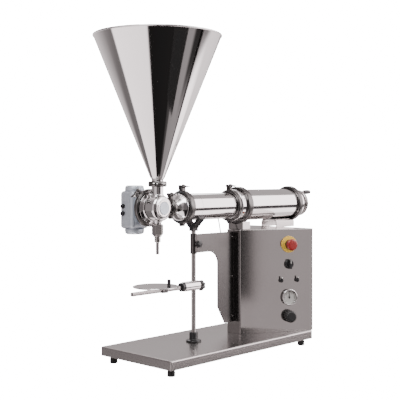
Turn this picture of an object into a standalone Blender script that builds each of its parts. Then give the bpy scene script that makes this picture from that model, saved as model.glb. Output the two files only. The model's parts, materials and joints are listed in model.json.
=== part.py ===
"""Piston liquid filler: a bench machine that draws liquid from a hopper and doses it through a nozzle.

Metres, +Z up. The long axis is X: the hopper and nozzle end is -X, the crank end is +X.
The operator's control panel faces -Y and -X. Pieces are placed from the left end of the base,
the middle plane and the floor; the parent empty then puts the origin under the middle of the box.
"""
import bpy
import bmesh
from math import cos, sin, pi, tau, sqrt
from mathutils import Matrix, Vector

# ---------------------------------------------------------------- driving dimensions
GAP = 0.0003                 # clearance between pieces that touch
RUNNING = 0.0004             # clearance of a piece that turns or slides
PIPE_SIDES = 24              # flats round a pipe, its flanges and its clamps, so that they nest

# base
BASE_LENGTH = 0.720
BASE_WIDTH = 0.330
TRAY_HEIGHT = 0.030
TRAY_WALL = 0.002
FOOT_HEIGHT = 0.025
FOOT_RADIUS = 0.0125
FOOT_INSET = 0.030
BASE_TOP = FOOT_HEIGHT + TRAY_HEIGHT

# cabinet
CABINET_FRONT = 0.473        # distance of the narrow front face from the left end of the base
CABINET_NOSE = 0.062         # width of the narrow front face
CABINET_HEIGHT = 0.370
CABINET_WALL = 0.002
CABINET_TOP = BASE_TOP + CABINET_HEIGHT
INLET_PLACE = (BASE_LENGTH, -0.100, BASE_TOP + 0.205)
INLET_SPIGOT = 0.005

# dosing line, along X
AXIS_Z = CABINET_TOP + 0.086  # height of the dosing line, which stands on the cabinet
VALVE_X = 0.100
FERRULE = 0.003              # thickness of one clamp flange
TUBE_RADIUS = 0.0455
TUBE_WALL = 0.002
TUBE_FRONT = 0.213
TUBE_REAR = 0.449
CYLINDER_RADIUS = 0.0555
CYLINDER_WALL = 0.0025
CYLINDER_FRONT = 0.497
CYLINDER_REAR = 0.790
FLANGE_LIP = 0.006           # how far a clamp flange stands out of its pipe
ROD_RADIUS = 0.009
PISTON_LENGTH = 0.030
PISTON_STROKE = 0.160        # with the stroke screw fully in, which is its place at rest
DOSING_PISTON_FRONT = TUBE_FRONT + 0.008
AIR_PISTON_FRONT = CYLINDER_FRONT + 0.010

# three-way valve and nozzle
VALVE_RADIUS = 0.042
VALVE_FRONT_Y = -0.030
VALVE_BACK_Y = 0.0395
PLUG_RADIUS = 0.028
VALVE_NECK = 0.0315          # outside of the valve body behind its rear flange
PORT_RADIUS = 0.0195
PORT_BORE = 0.0165
STEM_RADIUS = 0.007
HOPPER_JOINT_Z = AXIS_Z + 0.078
INLET_JOINT_X = 0.158
NOZZLE_TIP_Z = AXIS_Z - 0.150
NOZZLE_BORE = 0.004
NOZZLE_RADIUS = 0.0057
UNION_LENGTH = 0.036
UNION_RADIUS = 0.0195
UNION_TOP = AXIS_Z - VALVE_RADIUS - 0.010
SPIGOT_RADIUS = 0.011        # the valve's outlet, which reaches into the union
SPIGOT_BORE = 0.008
NOZZLE_COLLAR = 0.014

# hopper
HOPPER_RIM_RADIUS = 0.207
HOPPER_RIM_Z = AXIS_Z + 0.560
HOPPER_FOOT_Z = AXIS_Z + 0.097
HOPPER_WALL = 0.0015
RIM_BEAD = 0.003

# rotary actuator
ACTUATOR_WIDTH = 0.076
ACTUATOR_DEPTH = 0.066
ACTUATOR_HEIGHT = 0.126
ACTUATOR_FRONT_Y = 0.078
ACTUATOR_CAP_RADIUS = 0.0325
ACTUATOR_CAP_HEIGHT = 0.018
AIR_PORT_SPACING = 0.024

# column, bracket and bottle table
COLUMN_X = 0.268
COLUMN_RADIUS = 0.008
SLEEVE_RADIUS = COLUMN_RADIUS + 0.0035
BRACKET_TOP = CABINET_TOP - 0.007
BRACKET_ARM = 0.064          # height of the bracket's arm and of the sleeve
BRACKET_BOTTOM = BASE_TOP + 0.043
BRACKET_THICKNESS = 0.005
BRACKET_BACK = 0.388         # where the bracket's upright begins
BRACKET_CORNER = 0.044
BRACKET_SEAM = 0.002         # step of the welded edges at the bracket's flange and sleeve
CRADLE_WALL = 0.012
CRADLE_LENGTH = 0.026
TABLE_Z = BASE_TOP + 0.187
TABLE_CLAMP_RADIUS = 0.0165
TABLE_CLAMP_FRONT = 0.206
TABLE_CLAMP_BACK = 0.288
TABLE_BAR = 0.012
TABLE_BAR_END = -0.012
DISC_RADIUS = 0.075
DISC_THICKNESS = 0.004
DISC_X = 0.093
DISC_Z = BASE_TOP + 0.200

# rear adjustment
WHEEL_RADIUS = 0.050
WHEEL_FRONT = 0.842
WHEEL_WIDTH = 0.014
SCREW_RADIUS = 0.0075
SCREW_END = 0.024            # how far the screw stands out of the wheel
HANDLE_RADIUS = 0.041        # distance of the crank handle from the wheel's axis
HANDLE_LENGTH = 0.042
HANDLE_START = 0.886
HEAD_LENGTH = 0.040

# supports
SUPPORT_WIDTH = 0.070
SUPPORT_FRONT = 0.483
SUPPORT_LENGTH = 0.040
CHANNEL_WIDTH = 0.072
CHANNEL_FRONT = 0.672
CHANNEL_WALL = 0.003

# control panel: distance along the panel from the nose, and height above the base top
PANEL_S = 0.187
ESTOP_Z = 0.314
SELECTOR_Z = 0.243
SPEED_VALVE_Z = 0.185
SPEED_VALVE_SPACING = 0.062
GAUGE_Z = 0.124
REGULATOR_Z = 0.056
GAUGE_RADIUS = 0.029
ESTOP_RING_RADIUS = 0.030
ESTOP_HEAD_RADIUS = 0.0205
ESTOP_TRAVEL = 0.006
SELECTOR_RADIUS = 0.0175
REGULATOR_RADIUS = 0.022
SHAFT_RADIUS = 0.004

# clamps
CLAMP_RING = 0.0045          # wall of a clamp ring outside its flanges
CLAMP_HALF = 0.010           # half width of the rear clamp
WING_SPAN = 0.032
BOLT_OFFSET = 0.013          # distance of a clamp's bolt from its ring

# air hose between the front head and the cabinet
HOSE_RADIUS = 0.002
HOSE_POINTS = ((0.4700, 0.0585, -0.0110), (0.4680, 0.0655, -0.0120), (0.4610, 0.0705, -0.0170),
               (0.4530, 0.0680, -0.0270), (0.4470, 0.0580, -0.0370), (0.4435, 0.0480, -0.0485),
               (0.4400, 0.0390, -0.0670), (0.4370, 0.0310, -0.0910), (0.4395, 0.0265, -0.1070),
               (0.4470, 0.0245, -0.1180), (0.4570, 0.0240, -0.1242), (0.4650, 0.0240, -0.1260),
               (0.4715, 0.0240, -0.1260))

# origin: under the middle of the whole machine
LEFT_END = VALVE_X - HOPPER_RIM_RADIUS - RIM_BEAD
RIGHT_END = HANDLE_START + HANDLE_LENGTH
ORIGIN_X = (LEFT_END + RIGHT_END) / 2

ALONG_X = (0.0, pi / 2, 0.0)         # turns a piece's Z axis to +X
ALONG_MINUS_Y = (pi / 2, 0.0, 0.0)   # turns a piece's Z axis to -Y
ALONG_Y = (-pi / 2, 0.0, 0.0)        # turns a piece's Z axis to +Y

MATERIALS = {
    "brushed_steel": ((0.55, 0.53, 0.53), 0.35, 1.0),
    "polished_steel": ((0.80, 0.79, 0.79), 0.12, 1.0),
    "cast_steel": ((0.30, 0.29, 0.29), 0.35, 1.0),
    "blue_aluminium": ((0.42, 0.46, 0.49), 0.45, 0.6),
    "black_plastic": ((0.02, 0.02, 0.02), 0.45, 0.0),
    "black_rubber": ((0.015, 0.015, 0.015), 0.8, 0.0),
    "red_plastic": ((0.55, 0.03, 0.03), 0.35, 0.0),
    "yellow_plastic": ((0.75, 0.45, 0.03), 0.4, 0.0),
    "white_plastic": ((0.85, 0.84, 0.80), 0.4, 0.0),
}


# ---------------------------------------------------------------- modelling helpers
def clear_scene():
    for thing in list(bpy.data.objects):
        bpy.data.objects.remove(thing, do_unlink=True)


def material(name):
    made = bpy.data.materials.get(name)
    if made is None:
        colour, roughness, metallic = MATERIALS[name]
        made = bpy.data.materials.new(name)
        made.use_nodes = True
        shader = made.node_tree.nodes["Principled BSDF"]
        shader.inputs["Base Color"].default_value = (*colour, 1.0)
        shader.inputs["Roughness"].default_value = roughness
        shader.inputs["Metallic"].default_value = metallic
    return made


def put(name, shape, finish, place=(0, 0, 0), turn=(0, 0, 0), smooth=True):
    """Turn a bmesh into a named object at its place, under the frame's empty."""
    bmesh.ops.recalc_face_normals(shape, faces=shape.faces[:])
    mesh = bpy.data.meshes.new(name)
    shape.to_mesh(mesh)
    shape.free()
    if smooth:
        mesh.shade_smooth()
        mesh.set_sharp_from_angle(angle=pi / 6)
    piece = bpy.data.objects.new(name, mesh)
    bpy.context.scene.collection.objects.link(piece)
    piece.location = place
    piece.rotation_euler = turn
    piece.parent = bpy.data.objects["machine_frame"]
    if finish:
        mesh.materials.append(material(finish))
    return piece


def turned(name, outline, finish, place=(0, 0, 0), turn=(0, 0, 0), sides=20):
    """A turned piece about its own Z axis, from (radius, height) points.

    An outline that starts and ends on the axis makes a solid; any other is closed into a ring.
    """
    shape = bmesh.new()
    points = [shape.verts.new((radius, 0.0, height)) for radius, height in outline]
    edges = [shape.edges.new(pair) for pair in zip(points, points[1:])]
    if outline[0][0] > 0:
        edges.append(shape.edges.new((points[-1], points[0])))
    bmesh.ops.spin(shape, geom=points + edges, cent=(0, 0, 0), axis=(0, 0, 1), angle=tau,
                   steps=sides, use_merge=True, use_duplicate=False)
    bmesh.ops.remove_doubles(shape, verts=shape.verts[:], dist=1e-6)
    return put(name, shape, finish, place, turn)


def rod(name, radius, start, end, finish, place=(0, 0, 0), turn=(0, 0, 0), sides=16, edge=0.0):
    """A plain round bar between two heights on its own axis, with its edges broken by edge."""
    outline = [(0, start), (radius - edge, start), (radius, start + edge),
               (radius, end - edge), (radius - edge, end), (0, end)]
    if not edge:
        outline = [(0, start), (radius, start), (radius, end), (0, end)]
    return turned(name, outline, finish, place, turn, sides)


def block(name, low, high, finish, round_edges=0.0, steps=2):
    """A box between two corners."""
    shape = bmesh.new()
    bmesh.ops.create_cube(shape, size=1.0)
    size = [high[i] - low[i] for i in range(3)]
    bmesh.ops.scale(shape, vec=size, verts=shape.verts[:])
    middle = [(high[i] + low[i]) / 2 for i in range(3)]
    piece = put(name, shape, finish, middle, smooth=round_edges > 0)
    if round_edges:
        bevel = piece.modifiers.new("edges", "BEVEL")
        bevel.width = round_edges
        bevel.segments = steps
    return piece


def plate(name, outline, thickness, finish, place=(0, 0, 0), turn=(0, 0, 0), smooth=False):
    """A flat piece: an outline in its own XY plane, extruded up by its thickness."""
    shape = bmesh.new()
    face = shape.faces.new([shape.verts.new((x, y, 0.0)) for x, y in outline])
    grown = bmesh.ops.extrude_face_region(shape, geom=[face])
    top = [item for item in grown["geom"] if isinstance(item, bmesh.types.BMVert)]
    bmesh.ops.translate(shape, vec=(0, 0, thickness), verts=top)
    return put(name, shape, finish, place, turn, smooth)


def arc(centre, radius, start, end, steps):
    """Points on a circle from one angle to another."""
    angles = [start + (end - start) * i / steps for i in range(steps + 1)]
    return [(centre[0] + radius * cos(a), centre[1] + radius * sin(a)) for a in angles]


def tool(piece):
    """Mark a piece as a cutter or a body to be joined, which isn't part of the machine."""
    piece.hide_render = True
    piece.display_type = 'WIRE'
    return piece


def combine(piece, other, operation, solver='EXACT'):
    change = piece.modifiers.new(operation.lower(), "BOOLEAN")
    change.operation = operation
    change.solver = solver
    change.object = tool(other)


def join(piece, other, solver='EXACT'):
    combine(piece, other, 'UNION', solver)


def cut(piece, other, solver='EXACT'):
    combine(piece, other, 'DIFFERENCE', solver)


# ---------------------------------------------------------------- base and cabinet
def base():
    shape = bmesh.new()
    bmesh.ops.create_cube(shape, size=1.0)
    bmesh.ops.scale(shape, vec=(BASE_LENGTH, BASE_WIDTH, TRAY_HEIGHT), verts=shape.verts[:])
    under = min(shape.faces, key=lambda face: face.calc_center_median().z)
    shape.faces.remove(under)
    middle = (BASE_LENGTH / 2, 0, FOOT_HEIGHT + TRAY_HEIGHT / 2)
    tray = put("base_tray", shape, "brushed_steel", middle, smooth=False)
    wall = tray.modifiers.new("sheet", "SOLIDIFY")
    wall.thickness = TRAY_WALL
    wall.offset = -1.0
    wall.use_even_offset = True
    number = 0
    for x in (FOOT_INSET, BASE_LENGTH - FOOT_INSET):
        for y in (-BASE_WIDTH / 2 + FOOT_INSET, BASE_WIDTH / 2 - FOOT_INSET):
            number += 1
            top = BASE_TOP - TRAY_WALL - GAP
            outline = [(0, 0), (FOOT_RADIUS, 0), (FOOT_RADIUS, FOOT_HEIGHT * 0.55),
                       (FOOT_RADIUS * 0.85, FOOT_HEIGHT * 0.9), (FOOT_RADIUS * 0.85, top), (0, top)]
            turned("foot_%d" % number, outline, "black_rubber", (x, y, 0), sides=16)


def panel_direction():
    """Unit vectors along the near panel, from the nose to the rear corner, and out of it."""
    run = Vector((BASE_LENGTH - CABINET_FRONT, -(BASE_WIDTH - CABINET_NOSE) / 2, 0)).normalized()
    return run, Vector((run.y, -run.x, 0))


def panel_place(distance, height):
    run, _ = panel_direction()
    nose = Vector((CABINET_FRONT, -CABINET_NOSE / 2, BASE_TOP))
    return nose + run * distance + Vector((0, 0, height))


def panel_turn():
    _, out = panel_direction()
    return out.to_track_quat('Z', 'Y').to_euler()


def wedge(inset, rear):
    """The cabinet's plan, moved in by a wall and ending at the given rear face."""
    run, out = panel_direction()
    front = CABINET_FRONT + inset
    slope = -run.y / run.x
    shift = inset * (1 / run.x)

    def half_width(x):
        return CABINET_NOSE / 2 + (x - CABINET_FRONT) * slope - shift

    return [(front, -half_width(front)), (rear, -half_width(rear)),
            (rear, half_width(rear)), (front, half_width(front))]


def cabinet():
    shell = plate("cabinet_shell", wedge(0, BASE_LENGTH), CABINET_HEIGHT - GAP, "brushed_steel",
                  (0, 0, BASE_TOP + GAP))
    inside = plate("cabinet_inside", wedge(CABINET_WALL, BASE_LENGTH + 0.01), CABINET_HEIGHT, None,
                   (0, 0, BASE_TOP - CABINET_WALL))
    cut(shell, inside)
    holes = (("estop", PANEL_S, ESTOP_Z, ESTOP_HEAD_RADIUS * 0.5 + RUNNING),
             ("selector", PANEL_S, SELECTOR_Z, SHAFT_RADIUS + RUNNING),
             ("speed_1", PANEL_S - SPEED_VALVE_SPACING / 2, SPEED_VALVE_Z, SHAFT_RADIUS + RUNNING),
             ("speed_2", PANEL_S + SPEED_VALVE_SPACING / 2, SPEED_VALVE_Z, SHAFT_RADIUS + RUNNING),
             ("gauge", PANEL_S, GAUGE_Z, GAUGE_RADIUS * 0.8 + RUNNING),
             ("regulator", PANEL_S, REGULATOR_Z, SHAFT_RADIUS + RUNNING))
    for name, along, height, radius in holes:
        drill = rod(name + "_hole", radius, -0.01, 0.01, None, panel_place(along, height),
                    panel_turn(), sides=24)
        cut(shell, drill)
    rear = BASE_LENGTH - GAP - CABINET_WALL
    outline = wedge(CABINET_WALL + GAP, rear)
    half = abs(outline[1][1]) - CABINET_WALL
    cover = block("cabinet_rear_cover", (rear, -half, BASE_TOP + CABINET_WALL),
                  (rear + CABINET_WALL, half, CABINET_TOP - CABINET_WALL - GAP), "brushed_steel")
    cut(cover, rod("inlet_hole", INLET_SPIGOT + RUNNING, -0.02, 0.02, None, INLET_PLACE, ALONG_X,
                   sides=16))


def air_inlet():
    outline = [(0, -0.012), (INLET_SPIGOT, -0.012), (INLET_SPIGOT, GAP), (0.009, GAP), (0.009, 0.010),
               (0.006, 0.012), (0.006, 0.026), (0.0075, 0.027), (0.0075, 0.034), (0.004, 0.036),
               (0.004, 0.043), (0, 0.043)]
    turned("air_inlet", outline, "cast_steel", INLET_PLACE, ALONG_X, sides=12)


# ---------------------------------------------------------------- clamps
def flange_radius(pipe):
    return pipe + FLANGE_LIP


def clamp(name, pipe, half_width, place, turn, nut, spin):
    """A clamp ring about its own Z axis that grips two flanges, its swing bolt and its wing nut.

    spin is the angle of the bolt round the joint, in the ring's own frame.
    """
    lip = pipe + 0.0015
    groove = flange_radius(pipe) + GAP
    outside = groove + CLAMP_RING
    slot = FERRULE + 0.001
    outline = [(lip, -half_width), (outside, -half_width), (outside, half_width), (lip, half_width),
               (groove, slot), (groove, -slot)]
    ring = turned(name, outline, "cast_steel", place, turn, sides=PIPE_SIDES)
    frame = Matrix.LocRotScale(Vector(place), ring.rotation_euler, None)
    across = Vector((cos(spin), sin(spin), 0))
    along = Vector((-sin(spin), cos(spin), 0))
    lug_far = outside + BOLT_OFFSET + 0.0055
    lug = block(name + "_lug", (outside - 0.003, -0.011, -half_width * 0.75),
                (lug_far, 0.002, half_width * 0.75), None)
    pose_local(lug, frame, spin)
    join(ring, lug)
    bolt_reach = 0.030
    middle = frame @ (across * (outside + BOLT_OFFSET))
    direction = (frame.to_3x3() @ along).normalized()
    aim = direction.to_track_quat('Z', 'Y').to_euler()
    bolt = rod(name + "_bolt", 0.003, -0.008, bolt_reach, None, middle, aim, sides=10)
    join(ring, bolt)
    if nut:
        wing_nut(nut, middle, direction, aim)
    return ring


def pose_local(piece, frame, spin):
    """Carry a piece built round the origin into a ring's frame, turned by spin about its axis."""
    for vertex in piece.data.vertices:
        point = vertex.co + piece.location
        turned_x = point.x * cos(spin) - point.y * sin(spin)
        turned_y = point.x * sin(spin) + point.y * cos(spin)
        vertex.co = (turned_x, turned_y, point.z)
    piece.location = frame.to_translation()
    piece.rotation_euler = frame.to_euler()


def wing_nut(name, middle, direction, aim):
    """A wing nut on its bolt: a tapered hub and two wings, bored for the bolt."""
    seat = 0.004
    hub = turned(name, [(0.0034, seat), (0.0075, seat), (0.0055, seat + 0.010),
                        (0.0034, seat + 0.010)], "cast_steel", middle, aim, sides=12)
    half = WING_SPAN / 2
    side = [(0.0045, seat + 0.002), (half * 0.75, seat + 0.008), (half, seat + 0.017),
            (half * 0.72, seat + 0.019), (0.0045, seat + 0.0085)]
    for sign in (1, -1):
        shape = bmesh.new()
        corners = [shape.verts.new((sign * x, -0.0015, z)) for x, z in side]
        face = shape.faces.new(corners)
        grown = bmesh.ops.extrude_face_region(shape, geom=[face])
        moved = [item for item in grown["geom"] if isinstance(item, bmesh.types.BMVert)]
        bmesh.ops.translate(shape, vec=(0, 0.003, 0), verts=moved)
        wing = put(name + ("_left" if sign < 0 else "_right"), shape, None, middle, aim, smooth=False)
        join(hub, wing)
    return hub


# ---------------------------------------------------------------- hopper, valve and nozzle
def hopper():
    foot = HOPPER_JOINT_Z + GAP
    lip = flange_radius(PORT_RADIUS)
    neck_top = HOPPER_FOOT_Z
    neck = PORT_RADIUS + 0.004
    rim = HOPPER_RIM_RADIUS
    rim_z = HOPPER_RIM_Z
    bead = [(rim, rim_z - 2 * RIM_BEAD), (rim + RIM_BEAD, rim_z - 1.4 * RIM_BEAD),
            (rim + RIM_BEAD, rim_z - 0.6 * RIM_BEAD), (rim, rim_z)]
    outline = ([(PORT_BORE, foot), (lip, foot), (lip, foot + FERRULE),
                (PORT_RADIUS, foot + FERRULE + 0.001), (PORT_RADIUS, neck_top - 0.006),
                (neck, neck_top)] + bead +
               [(rim - HOPPER_WALL, rim_z), (neck - HOPPER_WALL, neck_top + 0.001),
                (PORT_BORE, neck_top - 0.004)])
    turned("hopper", outline, "polished_steel", (VALVE_X, 0, 0), sides=36)


def valve():
    centre = (VALVE_X, 0, AXIS_Z)
    front = -VALVE_FRONT_Y
    back = -VALVE_BACK_Y
    lip = flange_radius(PORT_RADIUS)
    back_lip = flange_radius(VALVE_NECK)
    outline = [(0, front + 0.004), (0.021, front + 0.004), (0.023, front + 0.002),
               (0.0265, front + 0.002), (0.0275, front), (VALVE_RADIUS - 0.006, front),
               (VALVE_RADIUS, front - 0.006), (VALVE_RADIUS, back + 0.009), (VALVE_NECK, back + 0.0085),
               (VALVE_NECK, back + FERRULE + 0.001), (back_lip, back + FERRULE), (back_lip, back),
               (PLUG_RADIUS + RUNNING, back),
               (PLUG_RADIUS + RUNNING, front - 0.004), (0, front - 0.004)]
    body = turned("valve_body", outline, "polished_steel", centre, ALONG_MINUS_Y, sides=24)
    top = HOPPER_JOINT_Z - AXIS_Z
    side = INLET_JOINT_X - VALVE_X
    inner = sqrt(VALVE_RADIUS ** 2 - PORT_RADIUS ** 2) - 0.004

    def port(name, reach, turn, start):
        end = reach - GAP
        outline = [(PORT_BORE, start), (PORT_RADIUS, start), (PORT_RADIUS, end - FERRULE),
                   (lip, end - FERRULE + 0.001), (lip, end), (PORT_BORE, end)]
        return turned(name, outline, None, centre, turn, sides=PIPE_SIDES)

    join(body, port("valve_top_port", top, (0, 0, 0), inner), 'MANIFOLD')
    join(body, port("valve_side_port", side, ALONG_X, inner), 'MANIFOLD')
    spigot = AXIS_Z - UNION_TOP + 0.020
    spigot_start = VALVE_RADIUS - 0.006
    join(body, rod("valve_spigot", SPIGOT_RADIUS, spigot_start, spigot, None, centre, (pi, 0, 0), sides=16),
         'MANIFOLD')
    for name, radius, reach, turn in (("top_bore", PORT_BORE, top + 0.01, (0, 0, 0)),
                                      ("side_bore", PORT_BORE, side + 0.01, ALONG_X),
                                      ("outlet_bore", SPIGOT_BORE, spigot + 0.01, (pi, 0, 0))):
        cut(body, rod(name, radius, PLUG_RADIUS - 0.012, reach, None, centre, turn, sides=16), 'MANIFOLD')
    plug_back = VALVE_BACK_Y - 0.004
    plug = turned("valve_plug", [(0, -plug_back - 0.045), (STEM_RADIUS, -plug_back - 0.045),
                                 (STEM_RADIUS, -plug_back), (PLUG_RADIUS, -plug_back),
                                 (PLUG_RADIUS, front - 0.004 - RUNNING), (0, front - 0.004 - RUNNING)],
                  "cast_steel", centre, ALONG_MINUS_Y, sides=24)
    passage = PORT_BORE - 0.001
    cut(plug, rod("plug_passage_up", passage, -passage * 0.7, 0.05, None, centre, (0, 0, 0)))
    cut(plug, rod("plug_passage_side", passage, -passage * 0.7, 0.05, None, centre, ALONG_X))


def nozzle():
    bottom = UNION_TOP - UNION_LENGTH
    nut = rod("nozzle_union", UNION_RADIUS, bottom, UNION_TOP, "polished_steel", (VALVE_X, 0, 0),
              sides=6, edge=0.002)
    cut(nut, rod("union_top_bore", SPIGOT_RADIUS + GAP, bottom - 0.01, UNION_TOP + 0.01, None,
                 (VALVE_X, 0, 0)))
    collar_top = UNION_TOP - 0.020 - GAP
    cut(nut, rod("union_seat", NOZZLE_COLLAR + GAP, bottom + 0.004, collar_top - 0.001, None,
                 (VALVE_X, 0, 0)))
    neck_end = bottom - 0.026
    outline = [(NOZZLE_BORE, NOZZLE_TIP_Z), (NOZZLE_RADIUS, NOZZLE_TIP_Z), (NOZZLE_RADIUS, neck_end),
               (SPIGOT_RADIUS - 0.001, neck_end + 0.004), (SPIGOT_RADIUS - 0.001, bottom + 0.004 + GAP),
               (NOZZLE_COLLAR, bottom + 0.004 + GAP), (NOZZLE_COLLAR, bottom + 0.008),
               (SPIGOT_RADIUS - 0.001, bottom + 0.008), (SPIGOT_RADIUS - 0.001, collar_top - GAP),
               (SPIGOT_BORE, collar_top - GAP), (NOZZLE_BORE, neck_end + 0.006)]
    turned("nozzle_tube", outline, "polished_steel", (VALVE_X, 0, 0), sides=20)


def actuator():
    middle_z = AXIS_Z - 0.008
    low = (VALVE_X - ACTUATOR_WIDTH / 2, ACTUATOR_FRONT_Y, middle_z - ACTUATOR_HEIGHT / 2)
    high = (VALVE_X + ACTUATOR_WIDTH / 2, ACTUATOR_FRONT_Y + ACTUATOR_DEPTH,
            middle_z + ACTUATOR_HEIGHT / 2)
    body = block("actuator_body", low, high, "blue_aluminium", 0.012, 3)
    face = VALVE_BACK_Y + GAP
    lip = flange_radius(VALVE_NECK)
    neck = [(STEM_RADIUS + RUNNING, face), (lip, face), (lip, face + FERRULE),
            (0.024, face + FERRULE + 0.001), (0.024, ACTUATOR_FRONT_Y + 0.004),
            (STEM_RADIUS + RUNNING, ACTUATOR_FRONT_Y + 0.004)]
    join(body, turned("actuator_neck", neck, None, (VALVE_X, 0, AXIS_Z), ALONG_Y, sides=PIPE_SIDES))
    cut(body, rod("actuator_stem_bore", STEM_RADIUS + RUNNING, face - 0.01, VALVE_BACK_Y + 0.045, None,
                  (VALVE_X, 0, AXIS_Z), ALONG_Y))
    for sign in (-1, 1):
        fitting = rod("air_fitting_%d" % (sign + 1), 0.0065, ACTUATOR_WIDTH / 2 - 0.003,
                      ACTUATOR_WIDTH / 2 + 0.010, None,
                      (VALVE_X, ACTUATOR_FRONT_Y + ACTUATOR_DEPTH * 0.7,
                       middle_z + sign * AIR_PORT_SPACING / 2), (0, -pi / 2, 0), sides=10)
        join(body, fitting)
    centre_y = ACTUATOR_FRONT_Y + ACTUATOR_DEPTH / 2
    edge = 0.003
    for name, start in (("actuator_top_cap", high[2] + GAP),
                        ("actuator_bottom_cap", low[2] - GAP - ACTUATOR_CAP_HEIGHT)):
        rod(name, ACTUATOR_CAP_RADIUS, start, start + ACTUATOR_CAP_HEIGHT, "blue_aluminium",
            (VALVE_X, centre_y, 0), sides=24, edge=edge)


# ---------------------------------------------------------------- dosing line
def on_axis(name, outline, finish, sides=PIPE_SIDES):
    """A piece turned about the dosing axis, its heights measured along X."""
    return turned(name, outline, finish, (0, 0, AXIS_Z), ALONG_X, sides)


def pipe_with_flanges(name, radius, wall, start, end, finish):
    lip = flange_radius(radius)
    bore = radius - wall
    on_axis(name, [(bore, start), (lip, start), (lip, start + FERRULE), (radius, start + FERRULE + 0.001),
                   (radius, end - FERRULE - 0.001), (lip, end - FERRULE), (lip, end), (bore, end)], finish)


def dosing_line():
    small = flange_radius(PORT_RADIUS)
    large = flange_radius(TUBE_RADIUS)
    start = INLET_JOINT_X + GAP
    end = TUBE_FRONT - GAP
    bore = TUBE_RADIUS - TUBE_WALL
    on_axis("reducer", [(PORT_BORE, start), (small, start), (small, start + FERRULE),
                        (PORT_RADIUS, start + FERRULE + 0.001), (PORT_RADIUS, start + 0.010),
                        (TUBE_RADIUS, end - 0.014), (TUBE_RADIUS, end - FERRULE - 0.001),
                        (large, end - FERRULE), (large, end), (bore, end), (bore, end - 0.014),
                        (PORT_BORE, start + 0.010)], "polished_steel")
    pipe_with_flanges("dosing_tube", TUBE_RADIUS, TUBE_WALL, TUBE_FRONT + GAP, TUBE_REAR - GAP,
                      "polished_steel")
    head_start = TUBE_REAR + GAP
    head_end = CYLINDER_FRONT - GAP
    wide = flange_radius(CYLINDER_RADIUS)
    gland = ROD_RADIUS + RUNNING
    on_axis("front_head", [(gland, head_start), (large, head_start), (large, head_start + FERRULE),
                           (TUBE_RADIUS, head_start + FERRULE + 0.001),
                           (TUBE_RADIUS, head_start + 0.010), (CYLINDER_RADIUS + 0.001, head_start + 0.012),
                           (CYLINDER_RADIUS + 0.001, head_end - FERRULE - 0.001),
                           (wide, head_end - FERRULE), (wide, head_end), (gland, head_end)],
            "polished_steel")
    pipe_with_flanges("air_cylinder", CYLINDER_RADIUS, CYLINDER_WALL, CYLINDER_FRONT + GAP,
                      CYLINDER_REAR - GAP, "polished_steel")
    rear = CYLINDER_REAR + GAP
    back = rear + HEAD_LENGTH
    thread = SCREW_RADIUS + RUNNING
    on_axis("rear_head", [(thread, rear), (wide, rear), (wide, rear + FERRULE),
                          (CYLINDER_RADIUS + 0.001, rear + FERRULE + 0.001),
                          (CYLINDER_RADIUS + 0.001, rear + HEAD_LENGTH * 0.6),
                          (CYLINDER_RADIUS - 0.008, rear + HEAD_LENGTH * 0.8),
                          (0.020, rear + HEAD_LENGTH * 0.82), (0.020, back), (thread, back)],
            "polished_steel")


def pistons():
    bore = TUBE_RADIUS - TUBE_WALL
    radius = bore - RUNNING
    start = DOSING_PISTON_FRONT
    groove = 0.003
    seal_start = start + PISTON_LENGTH * 0.5 - groove
    seal_end = start + PISTON_LENGTH * 0.5 + groove
    inner = radius - 0.005
    on_axis("dosing_piston", [(0, start), (radius - 0.002, start), (radius, start + 0.002),
                              (radius, seal_start), (inner, seal_start), (inner, seal_end),
                              (radius, seal_end), (radius, start + PISTON_LENGTH),
                              (0, start + PISTON_LENGTH)], "white_plastic")
    on_axis("piston_seal", [(inner + GAP, seal_start + GAP), (bore - GAP * 0.5, seal_start + GAP),
                            (bore - GAP * 0.5, seal_end - GAP), (inner + GAP, seal_end - GAP)],
            "black_rubber")
    air_start = AIR_PISTON_FRONT
    on_axis("air_piston", [(0, air_start), (CYLINDER_RADIUS - CYLINDER_WALL - RUNNING, air_start),
                           (CYLINDER_RADIUS - CYLINDER_WALL - RUNNING, air_start + PISTON_LENGTH),
                           (0, air_start + PISTON_LENGTH)], "cast_steel")
    rod("piston_rod", ROD_RADIUS, start + PISTON_LENGTH + GAP, air_start - GAP, "polished_steel",
        (0, 0, AXIS_Z), ALONG_X, sides=20)


def adjustment():
    tip = AIR_PISTON_FRONT + PISTON_LENGTH + PISTON_STROKE + GAP
    rod("stroke_screw", SCREW_RADIUS, tip, WHEEL_FRONT + WHEEL_WIDTH + SCREW_END,
        "cast_steel", (0, 0, AXIS_Z), ALONG_X, sides=16, edge=0.001)
    rim = 0.007
    start = WHEEL_FRONT
    end = WHEEL_FRONT + WHEEL_WIDTH
    middle = (start + end) / 2
    thread = SCREW_RADIUS + RUNNING
    wheel = on_axis("hand_wheel", [(thread, start - 0.006), (0.014, start - 0.006), (0.016, middle - 0.003),
                                   (WHEEL_RADIUS - 2 * rim, middle - 0.003),
                                   (WHEEL_RADIUS - rim, start), (WHEEL_RADIUS, start + rim * 0.6),
                                   (WHEEL_RADIUS, end - rim * 0.6), (WHEEL_RADIUS - rim, end),
                                   (WHEEL_RADIUS - 2 * rim, middle + 0.003), (0.016, middle + 0.003),
                                   (0.014, end + 0.004), (thread, end + 0.004)], "cast_steel")
    pin_radius = 0.003
    handle_z = AXIS_Z + HANDLE_RADIUS
    join(wheel, rod("handle_pin", pin_radius, middle, HANDLE_START + HANDLE_LENGTH - 0.004, None,
                    (0, 0, handle_z), ALONG_X, sides=10))
    bore = pin_radius + RUNNING
    length = HANDLE_LENGTH
    turned("crank_grip", [(0, length - 0.003), (bore, length - 0.003), (bore, 0), (0.0065, 0),
                          (0.0075, length * 0.15), (0.0085, length * 0.75), (0.007, length - 0.001),
                          (0, length)], "black_plastic", (HANDLE_START, 0, handle_z), ALONG_X, sides=12)


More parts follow.
